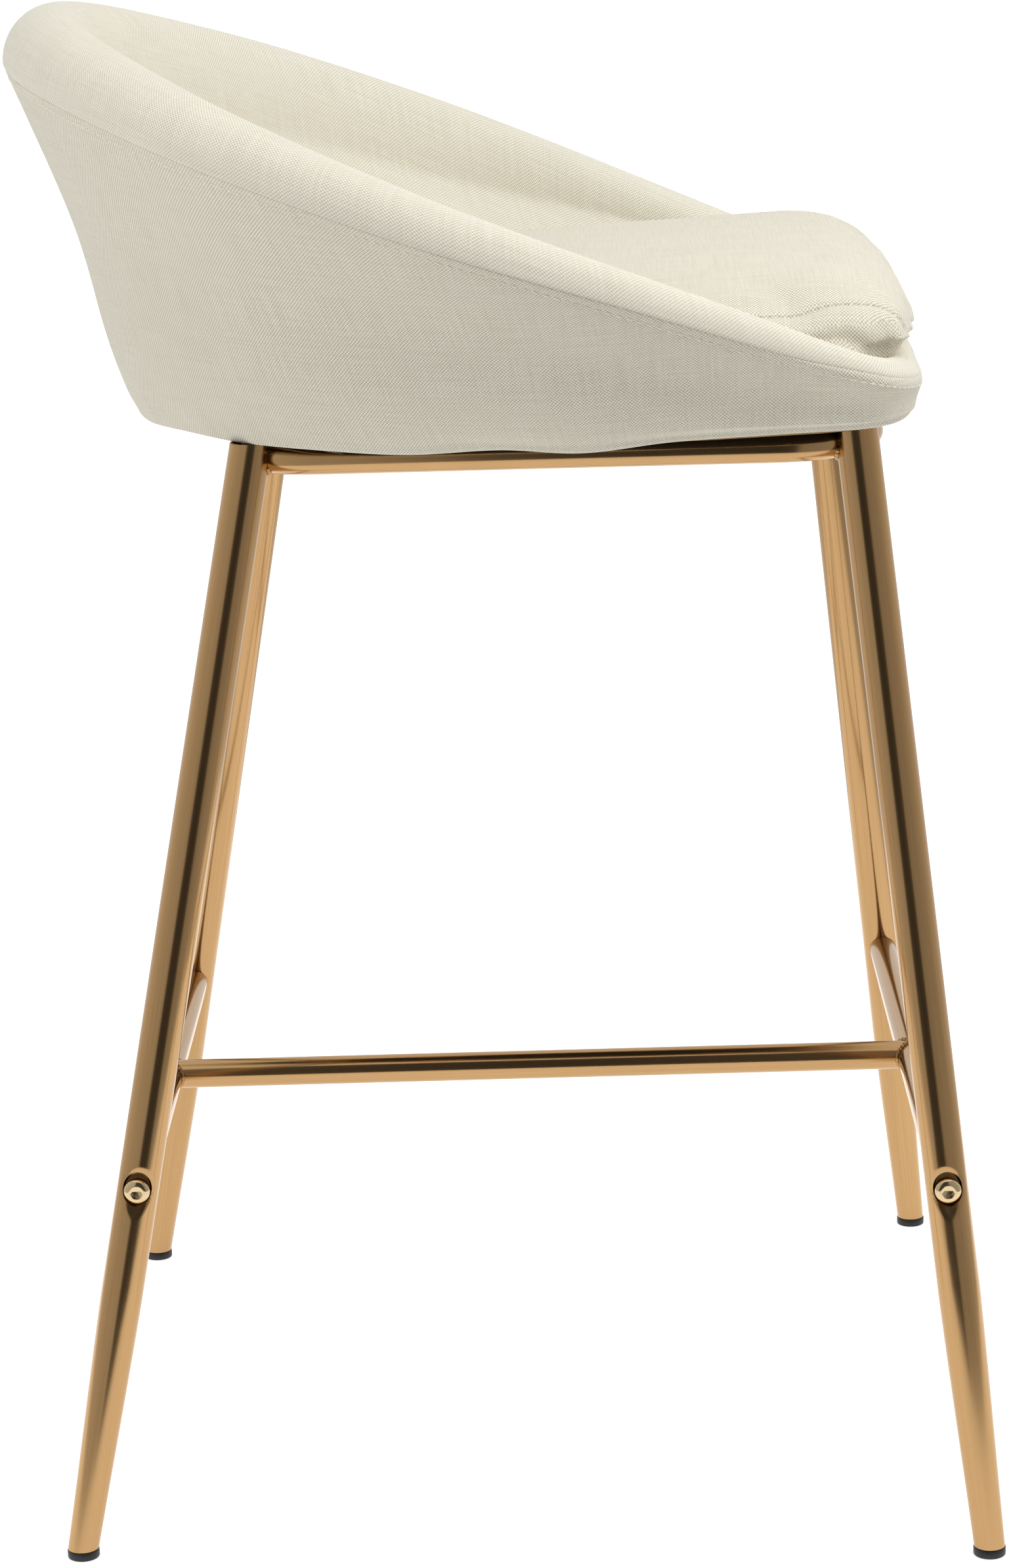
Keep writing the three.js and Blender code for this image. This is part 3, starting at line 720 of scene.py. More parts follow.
# A turned disc with a rounded lower edge and a bevel at the top
def makeCap(leg):
    radius, edge, height = capShape["radius"], capShape["edge"], legShape["capHeight"]
    corner = [
        (radius - edge + edge * math.sin(a), edge - edge * math.cos(a))
        for a in spread(5, 0, math.pi / 2)]
    profile = [
        (0, 0), *corner, (radius, height - edge / 2), (radius - edge / 2, height), (0, height)]
    base = leg.at(height)

    def pointAt(angle, row):
        reach, z = profile[row]
        return Vector((base.x + reach * math.cos(angle), base.y + reach * math.sin(angle), z))

    lengths = runningLengths([Vector((r, h, 0)) for r, h in profile])
    piece = roundGrid(
        f"foot_glide_{leg.name}", capShape["sides"], radius, lengths, pointAt)
    addPiece(piece, finishes["plastic"], "black_plastic", f"foot_cap_{leg.name}")
    keepEdges(piece, 50)


for leg in legs:
    makeCap(leg)


# ---- Footrest ----

# endDepth is how far an end's closing cone reaches in, out of sight
barShape = {
    "radius": 8 * mm, "sides": 48, "rows": 24, "rowLength": 20 * mm,
    "crossEndDepth": 3 * mm, "centreEndDepth": 2 * mm, "weldOut": 0.5 * mm,
}
barLengths = [barShape["rowLength"] * row for row in range(barShape["rows"] + 1)]
restHeight = pocket["height"]


# Distance along X, from the bar's middle, at which a line of the bar meets the leg
def meetLeg(leg, y, z):
    clear = legShape["radius"] + layout["fit"]
    point = leg.at(restHeight)
    start = Vector((0, y, z)) - Vector((0, point.y, point.z)) - Vector((point.x, 0, 0))
    along = Vector((1, 0, 0))
    flatStart = start - leg.axis * start.dot(leg.axis)
    flatAlong = along - leg.axis * along.dot(leg.axis)
    a, b = flatAlong.length_squared, 2 * flatStart.dot(flatAlong)
    c = flatStart.length_squared - clear * clear
    root = math.sqrt(max(b * b - 4 * a * c, 0))
    return (-b - leg.side * root) / (2 * a)


def makeCrossBar(end):
    left, right = legAt(end, -1), legAt(end, 1)
    middle = right.at(restHeight)
    sides, radius, rows = barShape["sides"], barShape["radius"], barShape["rows"]

    def pointAt(angle, row):
        share = clamp((row - 1) / (rows - 2))
        y = middle.y + radius * math.cos(angle)
        z = middle.z + radius * math.sin(angle)
        x = mix(meetLeg(left, y, z), meetLeg(right, y, z), share)
        if row in (0, rows):
            leg = left if row == 0 else right
            x = meetLeg(leg, middle.y, middle.z) - leg.side * barShape["crossEndDepth"]
            return Vector((x, middle.y, middle.z))
        return Vector((x, y, z))

    piece = roundGrid(f"footrest_cross_tube_{end}", sides, radius, barLengths, pointAt)
    addPiece(piece, finishes["tube"], "gold_tube", f"footrest_bar_{end}")
    keepEdges(piece, 60)


def makeCentreBar():
    sides, radius, rows = barShape["sides"], barShape["radius"], barShape["rows"]
    frontY, rearY = legAt("front", 1).at(restHeight).y, legAt("rear", 1).at(restHeight).y

    def pointAt(angle, row):
        x, rise = radius * math.cos(angle), radius * math.sin(angle)
        clear = math.sqrt(max((radius + layout["fit"]) ** 2 - rise * rise, 0))
        start, end = frontY + clear, rearY - clear
        y = mix(start, end, clamp((row - 1) / (rows - 2)))
        if row in (0, rows):
            inside = radius + barShape["centreEndDepth"]
            y = frontY + inside if row == 0 else rearY - inside
            return Vector((0, y, restHeight))
        return Vector((x, y, restHeight + rise))

    piece = roundGrid("footrest_centre_tube", sides, radius, barLengths, pointAt)
    addPiece(piece, finishes["tube"], "gold_tube", "footrest_centre_bar")
    keepEdges(piece, 60)
    for number, (name, middleY, way) in enumerate((("front", frontY, 1), ("rear", rearY, -1))):
        line = []
        grown = radius + barShape["weldOut"]
        for angle in spread(73, 0, fullTurn):
            x, rise = grown * math.cos(angle), grown * math.sin(angle)
            y = middleY + way * math.sqrt(max(grown * grown - rise * rise, 0))
            line.append(Vector((x, y, restHeight + rise)))
        weldBead(f"footrest_weld_{name}", line, 20 + number, bead["barRadius"], True)


makeCrossBar("front")
makeCrossBar("rear")
makeCentreBar()
print("footrest made")


# ---- Button head bolts ----

boltShape = {
    "seat": 6.3 * mm, "radius": 4 * mm, "head": 7 * mm, "headHeight": 4.4 * mm,
    "length": 40 * mm, "hexAcross": 5 * mm, "hexDepth": 2.6 * mm, "sides": 48,
}


# Aimed along direction, with its head's underside at seat
def buttonBolt(name, origin, direction):
    shape = boltShape
    head, tall, seat = shape["head"], shape["headHeight"], shape["seat"]
    hexRadius = shape["hexAcross"] / math.sqrt(3)
    dome = []
    for angle in spread(9, 0, math.pi / 2):
        radius = mix(hexRadius * 1.16, head, math.cos(angle) ** 0.9)
        dome.append((radius, seat + mix(0.28, 1.0, math.sin(angle)) * tall))
    shank = shape["radius"]
    tip = seat - shape["length"]
    profile = [(0, tip), (shank - 0.8 * mm, tip), (shank, tip + 1 * mm), (shank, seat)]
    profile += [(head - 0.2 * mm, seat), (head, seat + 0.2 * mm), *dome]
    socketStart = len(profile)
    rim = seat + tall
    profile += [(hexRadius, rim - 0.15 * mm), (hexRadius, rim - shape["hexDepth"])]
    profile.append((0, rim - shape["hexDepth"] - 1 * mm))
    sides = shape["sides"]
    first, second = acrossAxis(direction, upwards)

    def pointAt(column, row):
        radius, height = profile[row]
        angle = fullTurn * (column % sides) / sides
        if row >= socketStart and radius:
            turned = (angle + math.pi / 6) % (math.pi / 3) - math.pi / 6
            radius = shape["hexAcross"] / 2 / math.cos(turned)
        around = first * math.cos(angle) + second * math.sin(angle)
        return origin + direction * height + around * radius

    uvAt = lambda column, row: (column * mm, row * mm)
    piece = bentGrid(name, sides, len(profile) - 1, pointAt, uvAt)
    keepEdges(piece, 34)
    return piece


for leg in legs:
    bolt = buttonBolt(
        f"footrest_button_bolt_{leg.name}", leg.at(restHeight), Vector((leg.side, 0, 0)))
    addPiece(bolt, finishes["bolt"], "gold_bolt", f"footrest_bolt_{leg.name}")
print("bolts made")


# ---- Outlines of the bucket, point for point as in the model, in metres ----

bucket = {
    "rimHeight": 132 * mm, "rimSlope": 0.438, "rimBow": 1.2 * mm, "rimBowReach": 220 * mm,
    "innerStretch": 1.2, "innerStretchFrom": 60 * mm, "innerStretchTo": 160 * mm,
    "seamDrop": 21 * mm, "seamDropGrowth": 0.04, "seamFrontLift": 4 * mm,
    "seamFront": (130 * mm, 180 * mm),
    "rollRadius": 20.5 * mm, "rollGrowth": 0.034,
    "panelThickness": 9 * mm, "coreThickness": 8 * mm, "softGap": 1.6 * mm,
    "wallThickness": 34 * mm, "radialShare": 0.65, "coreTopShare": 0.42,
    "seatMiddleY": -20 * mm,
    "seatBottom": 11 * mm, "boardTop": 23 * mm,
    "stations": 312,
}

rimHalf = [
    (0, 228), (57, 219), (108, 198), (155, 169), (202, 130), (236, 80), (255, 22),
    (253, -28), (240, -80), (226, -137), (216, -180), (182, -199.5), (92, -204.5), (0, -205.5),
]
hemHalf = [
    (0, 199), (48, 190), (90, 168), (126, 136), (158, 98), (182, 48), (196, 0),
    (205, -42), (211, -88), (210, -142), (203, -188), (168, -208), (85, -212.5), (0, -213),
]

# How far the hem hangs below the seat board at each outline point, and how far it stands out
hemDrop = [0, 0.5, 0, 1.5, 2, 3, 1, 3, -1, -2, -1.5, 0, -1, 0]
hemFlare = [0, 0.5, -0.5, 0.5, -0.5, 1, -0.5, 1, -0.5, 0.5, 0, 0, 0.5, 0]


def closedLoop(half):
    return [*half, *[(-x, y) for x, y in reversed(half[1:-1])]]


# A point of a closed centripetal Catmull-Rom curve
def loopPoint(points, share):
    count = len(points)
    place = (share % 1.0) * count
    index = int(place)
    weight = place - index
    near = [Vector(points[(index + step) % count]) for step in (-1, 0, 1, 2)]
    gaps = [max((b - a).length_squared, 1e-12) ** 0.25 for a, b in zip(near, near[1:])]
    (a, b, c, d), (g0, g1, g2) = near, gaps
    t1 = ((b - a) / g0 - (c - a) / (g0 + g1) + (c - b) / g1) * g1
    t2 = ((c - b) / g1 - (d - b) / (g1 + g2) + (d - c) / g2) * g1
    return cubicBetween(b, c, t1, t2, weight)


# A value given at each outline point, eased between them
def loopValue(half, share):
    values = [*half, *reversed(half[1:-1])]
    place = (share % 1.0) * len(values)
    index = int(place)
    a, b, c, d = [values[(index + step) % len(values)] for step in (-1, 0, 1, 2)]
    return cubicBetween(b, c, (c - a) / 2, (d - b) / 2, place - index)


rimLoop, hemLoop = closedLoop(rimHalf), closedLoop(hemHalf)


class Station:
    def __init__(self, index):
        share = index / bucket["stations"]
        crest, hem = loopPoint(rimLoop, share), loopPoint(hemLoop, share)
        tangent = loopPoint(rimLoop, share + 1e-4) - loopPoint(rimLoop, share - 1e-4)
        self.crest = Vector((*crest, 0)) * mm
        self.hem = Vector((*hem, 0)) * mm
        normal = Vector((-tangent.y, tangent.x, 0)).normalized()
        fromMiddle = (self.crest - Vector((0, bucket["seatMiddleY"], 0))).normalized()
        self.out = normal.lerp(fromMiddle, bucket["radialShare"]).normalized()
        y = self.crest.y
        bow = bucket["rimBow"] * (1 - (y / bucket["rimBowReach"]) ** 2)
        self.crestHeight = bucket["rimHeight"] + bucket["rimSlope"] * y + bow
        self.roll = bucket["rollRadius"] + bucket["rollGrowth"] * y
        self.rollHeight = self.crestHeight - self.roll
        stretch = smoothStep(
            bucket["innerStretchFrom"], bucket["innerStretchTo"], self.crestHeight)
        self.innerRoll = self.roll * (1 + bucket["innerStretch"] * stretch)
        lift = bucket["seamFrontLift"] * smoothStep(*bucket["seamFront"], -y)
        self.seam = self.crestHeight - bucket["seamDrop"] - bucket["seamDropGrowth"] * y + lift
        self.hemDrop = loopValue(hemDrop, share) * mm
        self.hemFlare = loopValue(hemFlare, share) * mm


stations = [Station(index) for index in range(bucket["stations"])]
stationCount = len(stations)
crestLengths = runningLengths([s.crest for s in stations] + [stations[0].crest])
hemLengths = runningLengths([s.hem for s in stations] + [stations[0].hem])


def lean(share):
    turn = math.pi * share
    return share - 0.049 * math.sin(turn) + 0.026 * math.sin(2 * turn) + 0.02 * math.sin(3 * turn)


def outerSkin(station, height, depth=0.0):
    above = max(height - station.rollHeight, 0)
    reach = math.sqrt(max(station.roll ** 2 - above ** 2, 0))
    top = station.crest + station.out * reach
    share = (height - bucket["seatBottom"]) / (station.rollHeight - bucket["seatBottom"])
    point = station.hem.lerp(top, lean(clamp(share))) - station.out * depth
    point.z = height
    return point


def straightLayer(station, height, depth):
    point = outerSkin(station, min(height, station.rollHeight), depth)
    point.z = height
    return point


def innerSkin(station, share, extra=0.0):
    bottom = station.hem - station.out * bucket["wallThickness"]
    top = station.crest - station.out * station.roll
    base = bucket["boardTop"] + layout["fit"]
    point = bottom.lerp(top, lean(share)) - station.out * extra
    point.z = mix(base, station.crestHeight - station.innerRoll, share)
    return point


# Angle 0 is the roll's outer side, a quarter turn its crest, half a turn its inner side
def onRoll(station, angle, extra=0.0):
    tall = station.innerRoll if angle > math.pi / 2 else station.roll
    point = station.crest + station.out * (station.roll + extra) * math.cos(angle)
    point.z = station.crestHeight - tall + (tall + extra) * math.sin(angle)
    return point


seamShape = {
    "gap": 0.04 * mm, "dip": 0.42 * mm, "width": 0.7 * mm,
    "stitchBelow": 5 * mm, "stitchDip": 0.3 * mm, "stitchWidth": 1.1 * mm,
}


# Soft cloth that is pulled in along a seam
def seamDip(distance):
    return seamShape["dip"] * math.exp(-((distance / seamShape["width"]) ** 2))


# The panel is pulled in once more along the topstitch
def panelDip(below):
    off = (below - seamShape["stitchBelow"]) / seamShape["stitchWidth"]
    return seamDip(below) + seamShape["stitchDip"] * math.exp(-(off ** 2))


# A closed section at each station, swept round the bucket. sectionAt(station) gives its points
# in the seat's frame, and lengths are the stations' places round the cloth.
def sweptCloth(name, sectionAt, lengths):
    sections = []
    for station in stations:
        section = sectionAt(station)
        sections.append([seatFrame @ point for point in section])
    rows = len(sections[0])
    clothLengths = [runningLengths(section) for section in sections]

    def pointAt(column, row):
        return sections[column % stationCount][row % rows]

    def uvAt(column, row):
        section = clothLengths[column % stationCount]
        return lengths[column], section[row % rows] if row < rows else section[-1] + 0.01

    return bentGrid(name, stationCount, rows, pointAt, uvAt)


# ---- Outer panel ----

# Distances below and above the seam are close together where the cloth bends there
panelShape = {
    "fold": 4.2 * mm, "thin": 0.6 * mm, "flareFade": 55 * mm, "wave": 0.9 * mm,
    "below": [d * mm for d in (0, 0.7, 1.4, 2.2, 3.2, 4.4, 5.2, 6, 7.2, 9, 12)],
    "turned": [d * mm for d in (0.4, 1.2)],
}


def panelSection(station):
    bottom, fold = bucket["seatBottom"], panelShape["fold"]
    seam = station.seam - seamShape["gap"]
    thickness = bucket["panelThickness"] - panelShape["thin"]
    foldHeight = bottom + fold - station.hemDrop
    points = []
    # hem, turned under from the inside to the outside
    for angle in spread(7, -math.pi, 0):
        depth = fold - fold * math.cos(angle)
        point = outerSkin(station, bottom, depth - station.hemFlare)
        point.z = foldHeight + fold * math.sin(angle)
        points.append(point)
    tops = [seam - distance for distance in reversed(panelShape["below"])]
    lows = spread(26, foldHeight, tops[0])[1:-1]
    for height in [*lows, *tops]:
        flare = station.hemFlare * (1 - smoothStep(0, panelShape["flareFade"], height - foldHeight))
        below = seam - height
        wave = noise.noise(Vector((station.crest.x * 9, station.crest.y * 9, height * 14)))
        wave *= panelShape["wave"] * smoothStep(0, 20 * mm, below)
        points.append(outerSkin(station, height, panelDip(below) - flare - wave))
    points += [outerSkin(station, seam, depth) for depth in panelShape["turned"]]
    for height in reversed(spread(7, foldHeight + 2 * mm, seam - 0.1 * mm)):
        points.append(straightLayer(station, height, thickness))
    return points


panelLengths = [mix(a, b, 0.5) for a, b in zip(crestLengths, hemLengths)]
panel = sweptCloth("outer_panel_cover", panelSection, panelLengths)
addPiece(panel, finishes["panel"], "cream_fabric", "shell_outer_panel")
subdivide(panel)
print("outer panel made")


# ---- Rim band and inner lining ----

bandShape = {
    "wave": 1.2 * mm, "rows": 22, "liningRows": 18,
    "above": [d * mm for d in (0, 0.7, 1.4, 2.2, 3.2, 4.4, 6, 8, 10.5)],
}


def bandSection(station):
    seam = station.seam + seamShape["gap"]
    straight = max(station.rollHeight - seam, 0)
    first = math.asin(clamp((seam - station.rollHeight) / station.roll, 0, 1))
    total = straight + station.roll * (math.pi - first)
    distances = bandShape["above"] + spread(bandShape["rows"], 13.5 * mm, total)
    points = []
    for distance in distances:
        dip = seamDip(distance)
        if distance < straight:
            points.append(outerSkin(station, seam + distance, dip))
        else:
            angle = first + (distance - straight) / station.roll
            points.append(onRoll(station, angle, -dip))
    for share in reversed(spread(bandShape["liningRows"], 0, 0.95)):
        wave = noise.noise(Vector((station.crest.x * 8, station.crest.y * 8, share * 2)))
        wave *= bandShape["wave"] * math.sin(math.pi * share)
        points.append(innerSkin(station, share, wave))
    core = bucket["panelThickness"] + bucket["softGap"]
    back = core + bucket["coreThickness"] + bucket["softGap"]
    over = station.crestHeight - bucket["coreTopShare"] * station.roll + bucket["softGap"]
    base = bucket["boardTop"] + layout["fit"]
    for height in [*spread(5, base, station.rollHeight), over]:
        points.append(straightLayer(station, height, back))
    for height in (over, max(station.rollHeight, seam)):
        points.append(straightLayer(station, height, bucket["panelThickness"]))
    points.append(straightLayer(station, seam + 0.1 * mm, bucket["panelThickness"]))
    return points + [
        outerSkin(station, seam, depth) for depth in reversed(panelShape["turned"])]


band = sweptCloth("rim_band_cover", bandSection, crestLengths)
addPiece(band, finishes["band"], "cream_fabric", "shell_rim_band")
subdivide(band)
print("rim band made")


# ---- Topstitch below the seam ----

stitching = {"length": 4 * mm, "pitch": 5.4 * mm, "radius": 0.42 * mm}


# Short bent threads along a line on the cloth. Each sinks in at both ends.
def stitchLine(name, line, outwards, settings):
    lengths = runningLengths(line)
    total = lengths[-1]
    count = int(total / settings["pitch"])
    shape = bmesh.new()
    sides, steps = 6, 5
    index = 0

    def lineAt(along):
        nonlocal index
        while index < len(lengths) - 2 and lengths[index + 1] < along:
            index += 1
        share = (along - lengths[index]) / max(lengths[index + 1] - lengths[index], 1e-9)
        place = line[index].lerp(line[index + 1], share)
        return place, outwards[index].lerp(outwards[index + 1], share).normalized()

    for number in range(count):
        start = number * settings["pitch"]
        rings = []
        for step in range(steps + 1):
            share = step / steps
            place, out = lineAt(start + settings["length"] * share)
            following, _ = lineAt(start + settings["length"] * share + 0.05 * mm)
            along = (following - place).normalized()
            side = along.cross(out)
            lift = settings["radius"] * (1.3 * math.sin(math.pi * share) - 0.6)
            radius = settings["radius"] * (0.55 + 0.45 * math.sin(math.pi * share))
            ringVerts = []
            for turn in range(sides):
                angle = fullTurn * turn / sides
                offset = (out * math.cos(angle) + side * math.sin(angle)) * radius
                ringVerts.append(shape.verts.new(place + out * lift + offset))
            rings.append(ringVerts)
        for before, after in zip(rings, rings[1:]):
            for turn in range(sides):
                following = (turn + 1) % sides
                shape.faces.new((before[turn], before[following], after[following], after[turn]))
        shape.faces.new(rings[0][::-1])
        shape.faces.new(rings[-1])
    piece = finishMesh(name, shape, 1e-8)
    return addPiece(piece, finishes["thread"], "cream_fabric")


below = seamShape["stitchBelow"]
stitchPlaces = [
    seatFrame @ outerSkin(s, s.seam - below, panelDip(below)) for s in [*stations, stations[0]]]
stitchNormals = [(seatFrame.to_3x3() @ s.out).normalized() for s in [*stations, stations[0]]]
stitchLine("panel_topstitch", stitchPlaces, stitchNormals, stitching)
print("topstitch made")


# ---- Seat cushion ----

cushionSettings = {
    "shrink": 6 * mm,
    "voxel": 4 * mm,
    "pressure": 3.0,
    "frames": 20,
    "largestMove": 8 * mm,
    "easing": 12,
    # where the filled cushion's top and front end up, in the seat's frame
    "top": 89.5 * mm,
    "topFrom": 40 * mm,
    "front": -218 * mm,
    "frontFrom": -40 * mm,
    # how the front face leans back above a height
    "frontLean": 0.14,
    "leanFrom": 52 * mm,
    "leanOver": (120 * mm, 200 * mm),
}


def mergedCopy(node, name):
    shape = bmesh.new()
    shape.from_mesh(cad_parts[node].data)
    return finishMesh(name, shape, 1e-5)


# Pulls a mesh in along its normals by distanceAt(place)
def shrinkMesh(piece, distanceAt):
    shape = bmesh.new()
    shape.from_mesh(piece.data)
    shape.normal_update()
    for vertex in shape.verts:
        vertex.co -= vertex.normal * distanceAt(vertex.co)
    shape.to_mesh(piece.data)
    shape.free()


def remesh(piece, size):
    modifier = piece.modifiers.new("remesh", "REMESH")
    modifier.mode = "VOXEL"
    modifier.voxel_size = size
    modifier.use_smooth_shade = True
    applyModifiers(piece)


def inflate(piece, settings):
    before = [vertex.co.copy() for vertex in piece.data.vertices]
    modifier = piece.modifiers.new("cloth", "CLOTH")
    cloth = modifier.settings
    cloth.quality = 6
    cloth.mass = 0.3
    cloth.tension_stiffness = cloth.compression_stiffness = 12
    cloth.shear_stiffness = 5
    cloth.bending_stiffness = 0.5
    cloth.use_pressure = True
    cloth.uniform_pressure_force = settings["pressure"]
    cloth.effector_weights.gravity = 0
    modifier.collision_settings.use_self_collision = False
    modifier.collision_settings.use_collision = False
    scene = bpy.context.scene
    for number in range(1, settings["frames"] + 1):
        scene.frame_set(number)
    applyModifiers(piece)
    scene.frame_set(1)
    for vertex, start in zip(piece.data.vertices, before):
        move = vertex.co - start
        if move.length > settings["largestMove"]:
            vertex.co = start + move.normalized() * settings["largestMove"]


cushion = mergedCopy("seat_cushion", "seat_pad")
shrinkMesh(cushion, lambda place: cushionSettings["shrink"])
remesh(cushion, cushionSettings["voxel"])
inflate(cushion, cushionSettings)
smoothing = cushion.modifiers.new("ease", "SMOOTH")
smoothing.factor, smoothing.iterations = 0.5, cushionSettings["easing"]
applyModifiers(cushion)
print("cushion inflated")


# Stretches the front and the top of the filled cushion to the places where they settle
def settleCushion(piece, settings):
    places = [floorToSeat @ vertex.co for vertex in piece.data.vertices]
    top, front = max(p.z for p in places), min(p.y for p in places)
    topFrom, frontFrom = settings["topFrom"], settings["frontFrom"]
    upwards = (settings["top"] - topFrom) / (top - topFrom)
    forwards = (settings["front"] - frontFrom) / (front - frontFrom)
    for vertex, place in zip(piece.data.vertices, places):
        if place.z > topFrom:
            place.z = topFrom + (place.z - topFrom) * upwards
        if place.y < frontFrom:
            place.y = frontFrom + (place.y - frontFrom) * forwards
            weight = smoothStep(*settings["leanOver"], -place.y)
            place.y += settings["frontLean"] * (place.z - settings["leanFrom"]) * weight
        vertex.co = seatFrame @ place


settleCushion(cushion, cushionSettings)


# Box-shaped texture coordinates: the top is laid out flat, and the sides wrap round
def wrapCloth(piece):
    layer = piece.data.uv_layers.new(name="UVMap")
    for polygon in piece.data.polygons:
        normal = polygon.normal
        for loopIndex in polygon.loop_indices:
            place = piece.data.vertices[piece.data.loops[loopIndex].vertex_index].co
            if abs(normal.z) > 0.55:
                uv = (place.x, place.y)
            elif abs(normal.x) > abs(normal.y):
                uv = (place.y, place.z)
            else:
                uv = (place.x, place.z)
            layer.data[loopIndex].uv = uv


# The seam along the top of each side, which turns down at the front corner, and the fold below
# it. Places are x, y and z in mm in the seat's frame, on the left side.
cushionLines = {
    "seam": {
        "places": [
            (-140, 60, 60), (-172, 0, 66), (-182, -60, 70), (-184, -110, 72), (-180, -147, 74),
            (-176, -163, 74), (-172, -176, 71), (-168, -190, 67), (-165, -199, 62),
            (-162, -206, 55), (-160, -210, 47), (-158, -212, 38)],
        "depth": 1.3 * mm, "width": 2.4 * mm,
    },
    "fold": {
        "places": [(-185, -150, 55), (-182, -172, 54), (-178, -190, 50), (-170, -204, 50)],
        "depth": 3.2 * mm, "width": 5 * mm,
    },
}


lineSteps = 12


# A curve through the places, laid on the cushion's surface
def lineOnCushion(tree, places, side):
    line = []
    corners = [Vector((-side * x, y, z)) * mm for x, y, z in places]
    for index in range(len(corners) - 1):
        a, b, c, d = [
            corners[min(max(index + step, 0), len(corners) - 1)] for step in (-1, 0, 1, 2)]
        for step in range(lineSteps):
            place = cubicBetween(b, c, (c - a) / 2, (d - b) / 2, step / lineSteps)
            line.append(tree.find_nearest(seatFrame @ place)[0])
    return line


# Presses a line into the cloth, fading out over three times its width
def pressLine(piece, line, settings):
    reach = 3 * settings["width"]
    low = [min(p[i] for p in line) - reach for i in range(3)]
    high = [max(p[i] for p in line) + reach for i in range(3)]

    def dipAt(place):
        if not all(low[i] < place[i] < high[i] for i in range(3)):
            return 0
        gap = min((place - point).length_squared for point in line)
        isNear = gap < reach * reach
        return settings["depth"] * math.exp(-gap / settings["width"] ** 2) if isNear else 0

    shrinkMesh(piece, dipAt)


subdivide(cushion)
applyModifiers(cushion)
cushionTree = BVHTree.FromObject(cushion, bpy.context.evaluated_depsgraph_get())
seamLines = []
for side in (-1, 1):
    for name, settings in cushionLines.items():
        line = lineOnCushion(cushionTree, settings["places"], side)
        pressLine(cushion, densePath(line, 1.5 * mm), settings)
        if name == "seam":
            seamLines.append((side, line))
addPiece(cushion, finishes["panel"], "cream_fabric", "seat_cushion")
wrapCloth(cushion)
cushion.data.shade_smooth()
cushionStitch = {
    "length": 3.6 * mm, "pitch": 5 * mm, "radius": 0.3 * mm, "aboveSeam": 2.6 * mm,
}
for side, line in seamLines:
    laid = [cushionTree.find_nearest(p + upwards * cushionStitch["aboveSeam"]) for p in line]
    stitchLine(
        f"cushion_topstitch_{'left' if side < 0 else 'right'}",
        [found for found, _, _, _ in laid], [normal for _, normal, _, _ in laid], cushionStitch)
print("cushion made")


# ---- Base: board, tabs, screws and dust cover ----

# The model's own solids that stay in view, by the start of their names
solidFinishes = {
    "seat_board": "ply", "shell_core": "shell", "tee_nut": "zinc", "seat_screw": "zinc",
    "footrest_insert": "zinc", "seat_tab": "tube",
}
for node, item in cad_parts.items():
    for start, finish in solidFinishes.items():
        if node.startswith(start):
            setFinish(item, finishes[finish])


# Thin cloth stapled under the board. It lies over the tabs and sags a little elsewhere.
coverShape = {
    "height": 10.85 * mm, "thickness": 0.16 * mm, "inset": 14 * mm, "sag": 1.6 * mm,
    "tabReach": (28 * mm, 60 * mm), "edgeFlat": 0.75, "rows": 22,
    "staples": 44, "stapleInset": 20 * mm, "stapleSize": (11 * mm, 1.1 * mm, 0.5 * mm),
    "stapleClear": 32 * mm,
}
tabPlaces = [floorToSeat @ middleOf(node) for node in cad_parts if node.startswith("seat_tab")]


# Distance in the board's plane to the nearest tab
def tabDistance(place):
    return min((Vector((tab.x, tab.y, 0)) - place).length for tab in tabPlaces)


def coverPoint(station, share, lift):
    edge = station.hem - station.out * coverShape["inset"]
    point = Vector((0, bucket["seatMiddleY"], 0)).lerp(edge, share)
    slack = smoothStep(*coverShape["tabReach"], tabDistance(point))
    slack *= smoothStep(1.0, coverShape["edgeFlat"], share)
    crease = 0.6 + 0.4 * noise.noise(Vector((point.x * 14, point.y * 14, 0.3)))
    point.z = coverShape["height"] + lift - coverShape["sag"] * slack * crease
    return point


def coverSection(station):
    shares = spread(coverShape["rows"], 0, 1)
    under = [coverPoint(station, share, 0) for share in reversed(shares)]
    return under + [coverPoint(station, share, coverShape["thickness"]) for share in shares]


cover = sweptCloth("cover_cloth", coverSection, hemLengths)
addPiece(cover, finishes["dust"], "dust_cloth", "dust_cover")


def addStaples():
    shape = bmesh.new()
    for number in range(coverShape["staples"]):
        station = stations[int(stationCount * (number + 0.5) / coverShape["staples"])]
        place = station.hem - station.out * coverShape["stapleInset"]
        if tabDistance(place) < coverShape["stapleClear"]:
            continue
        size = coverShape["stapleSize"]
        place.z = coverShape["height"] - size[2] / 2
        turn = station.out.to_track_quat("Y", "Z").to_matrix().to_4x4()
        placed = seatFrame @ Matrix.Translation(place) @ turn @ Matrix.Diagonal((*size, 1))
        bmesh.ops.create_cube(shape, size=1, matrix=placed)
    staples = finishMesh("cover_staples", shape)
    addPiece(staples, finishes["zinc"], "zinc_steel")
    keepEdges(staples)


addStaples()
print("base made")


# ---- Floor and light ----

tent = {
    "radius": 0.95, "height": 1.5, "columns": 96,
    # brightness by share of the way round, from the side that the camera looks in from
    "strengths": [
        (0.0, 0.06), (0.045, 0.08), (0.06, 0.38), (0.16, 0.46), (0.3, 0.78), (0.5, 0.9),
        (0.7, 0.85), (0.84, 0.62), (0.94, 0.54), (0.955, 0.08), (1.0, 0.06),
    ],
}


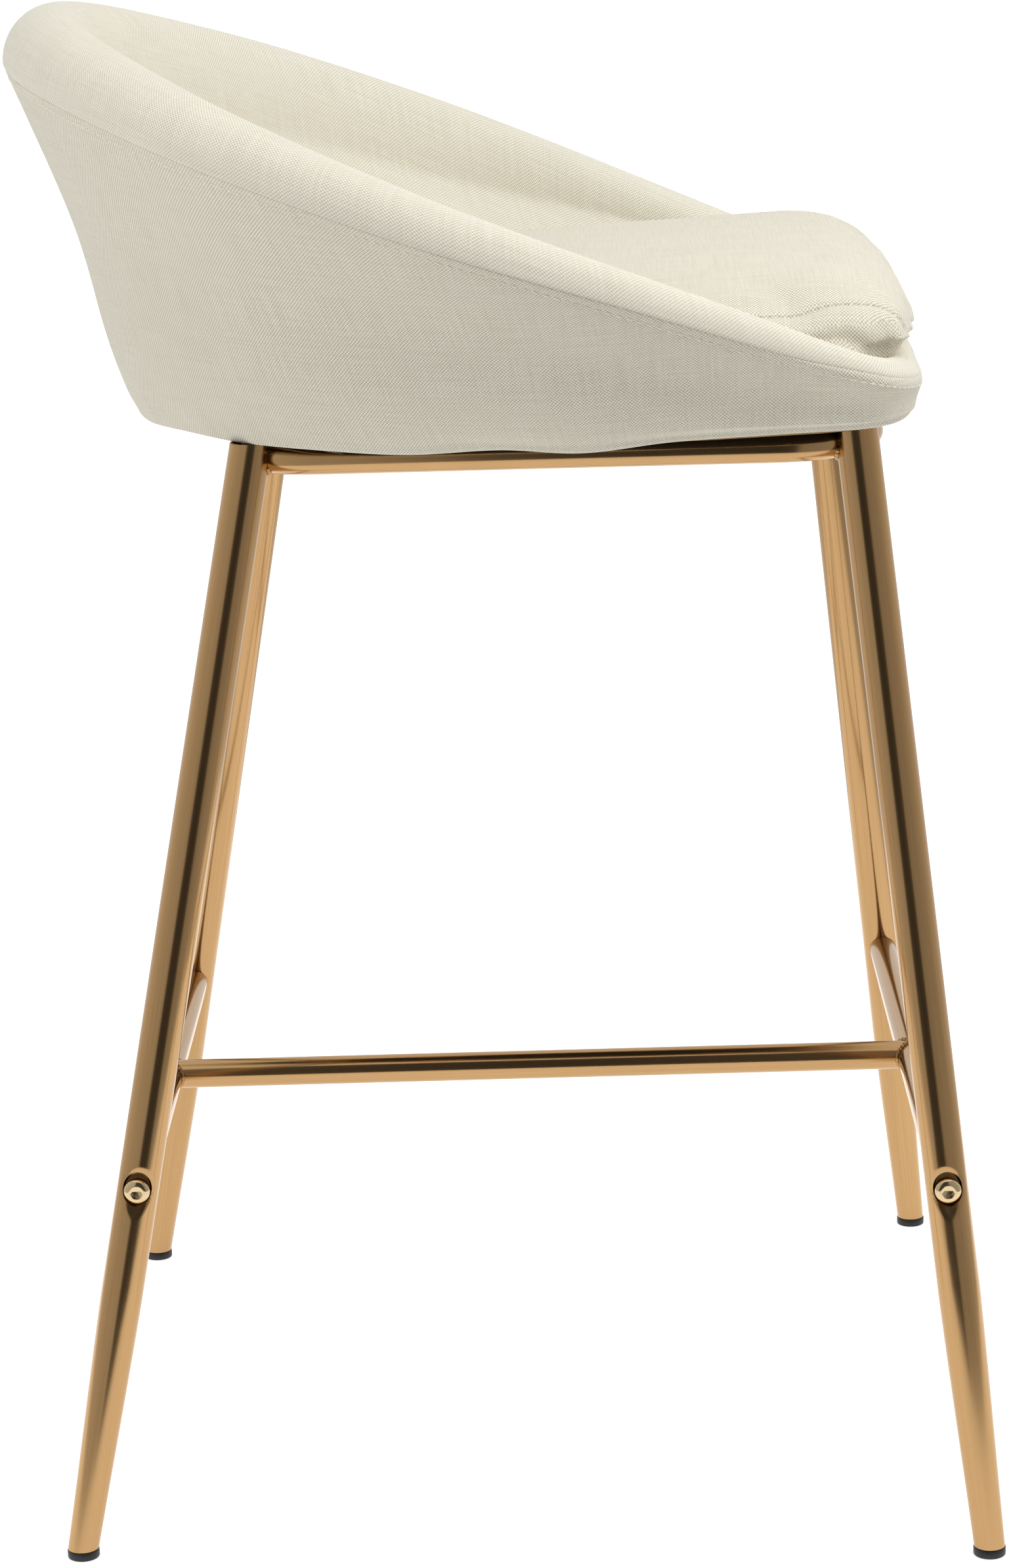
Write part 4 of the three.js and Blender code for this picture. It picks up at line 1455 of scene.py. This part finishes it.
# The white tent round the stool, dark where it is open in front of the camera
def addTent():
    columns, radius = tent["columns"], tent["radius"]

    def pointAt(column, row):
        angle = math.pi + fullTurn * column / columns
        return Vector((radius * math.cos(angle), radius * math.sin(angle), tent["height"] * row))

    wall = bentGrid("studio_tent", columns, 1, pointAt, lambda column, row: (column / columns, row))
    material = bpy.data.materials.new("studio_tent_white")
    material.use_nodes = True
    tree = material.node_tree
    tree.nodes.clear()
    place = addNode(tree, "ShaderNodeTexCoord").outputs["UV"]
    across = addNode(tree, "ShaderNodeSeparateXYZ", links={"Vector": place}).outputs["X"]
    strength = rampNode(tree, across, [(p, (s, s, s, 1)) for p, s in tent["strengths"]])
    light = addNode(tree, "ShaderNodeEmission", links={"Color": strength})
    addNode(tree, "ShaderNodeOutputMaterial", links={"Surface": light.outputs[0]})
    wall.data.materials.append(material)
    wall.visible_camera = False


addTent()


# Square softboxes inside the tent, aimed at the seat and left out of the metal's reflections:
# place, watts
softboxes = {
    "size": 0.6, "aim": Vector((0, 0, 0.68)),
    "boxes": [((-0.6, -0.55, 1.25), 4.1), ((-0.7, 0.5, 0.9), 1.5), ((-0.1, -0.8, 1.1), 1.4)],
}


def addSoftbox(name, place, energy):
    data = bpy.data.lights.new(name, "AREA")
    data.shape = "SQUARE"
    data.size, data.energy = softboxes["size"], energy
    box = linkObject(name, data)
    turn = (softboxes["aim"] - Vector(place)).to_track_quat("-Z", "Y").to_matrix().to_4x4()
    box.matrix_world = Matrix.Translation(place) @ turn
    box.visible_camera = box.visible_glossy = False


for number, (place, energy) in enumerate(softboxes["boxes"]):
    addSoftbox(f"softbox_{number}", place, energy)


def addFloor():
    shape = bmesh.new()
    bmesh.ops.create_grid(shape, x_segments=1, y_segments=1, size=12)
    floor = finishMesh("studio_floor", shape)
    material, _, surface = newMaterial("studio_floor_white")
    surface.inputs["Base Color"].default_value = linearColour("#f4f4f4")
    surface.inputs["Roughness"].default_value = 0.8
    surface.inputs["Specular IOR Level"].default_value = 0.0
    surface.inputs["Emission Color"].default_value = (1, 1, 1, 1)
    surface.inputs["Emission Strength"].default_value = 0.55
    floor.data.materials.append(material)


addFloor()

world = bpy.data.worlds.new("studio_world")
world.use_nodes = True
world.node_tree.nodes["Background"].inputs["Color"].default_value = (1, 1, 1, 1)
world.node_tree.nodes["Background"].inputs["Strength"].default_value = 1.0
bpy.context.scene.world = world
bpy.context.scene.view_settings.view_transform = "Standard"
print("studio made")
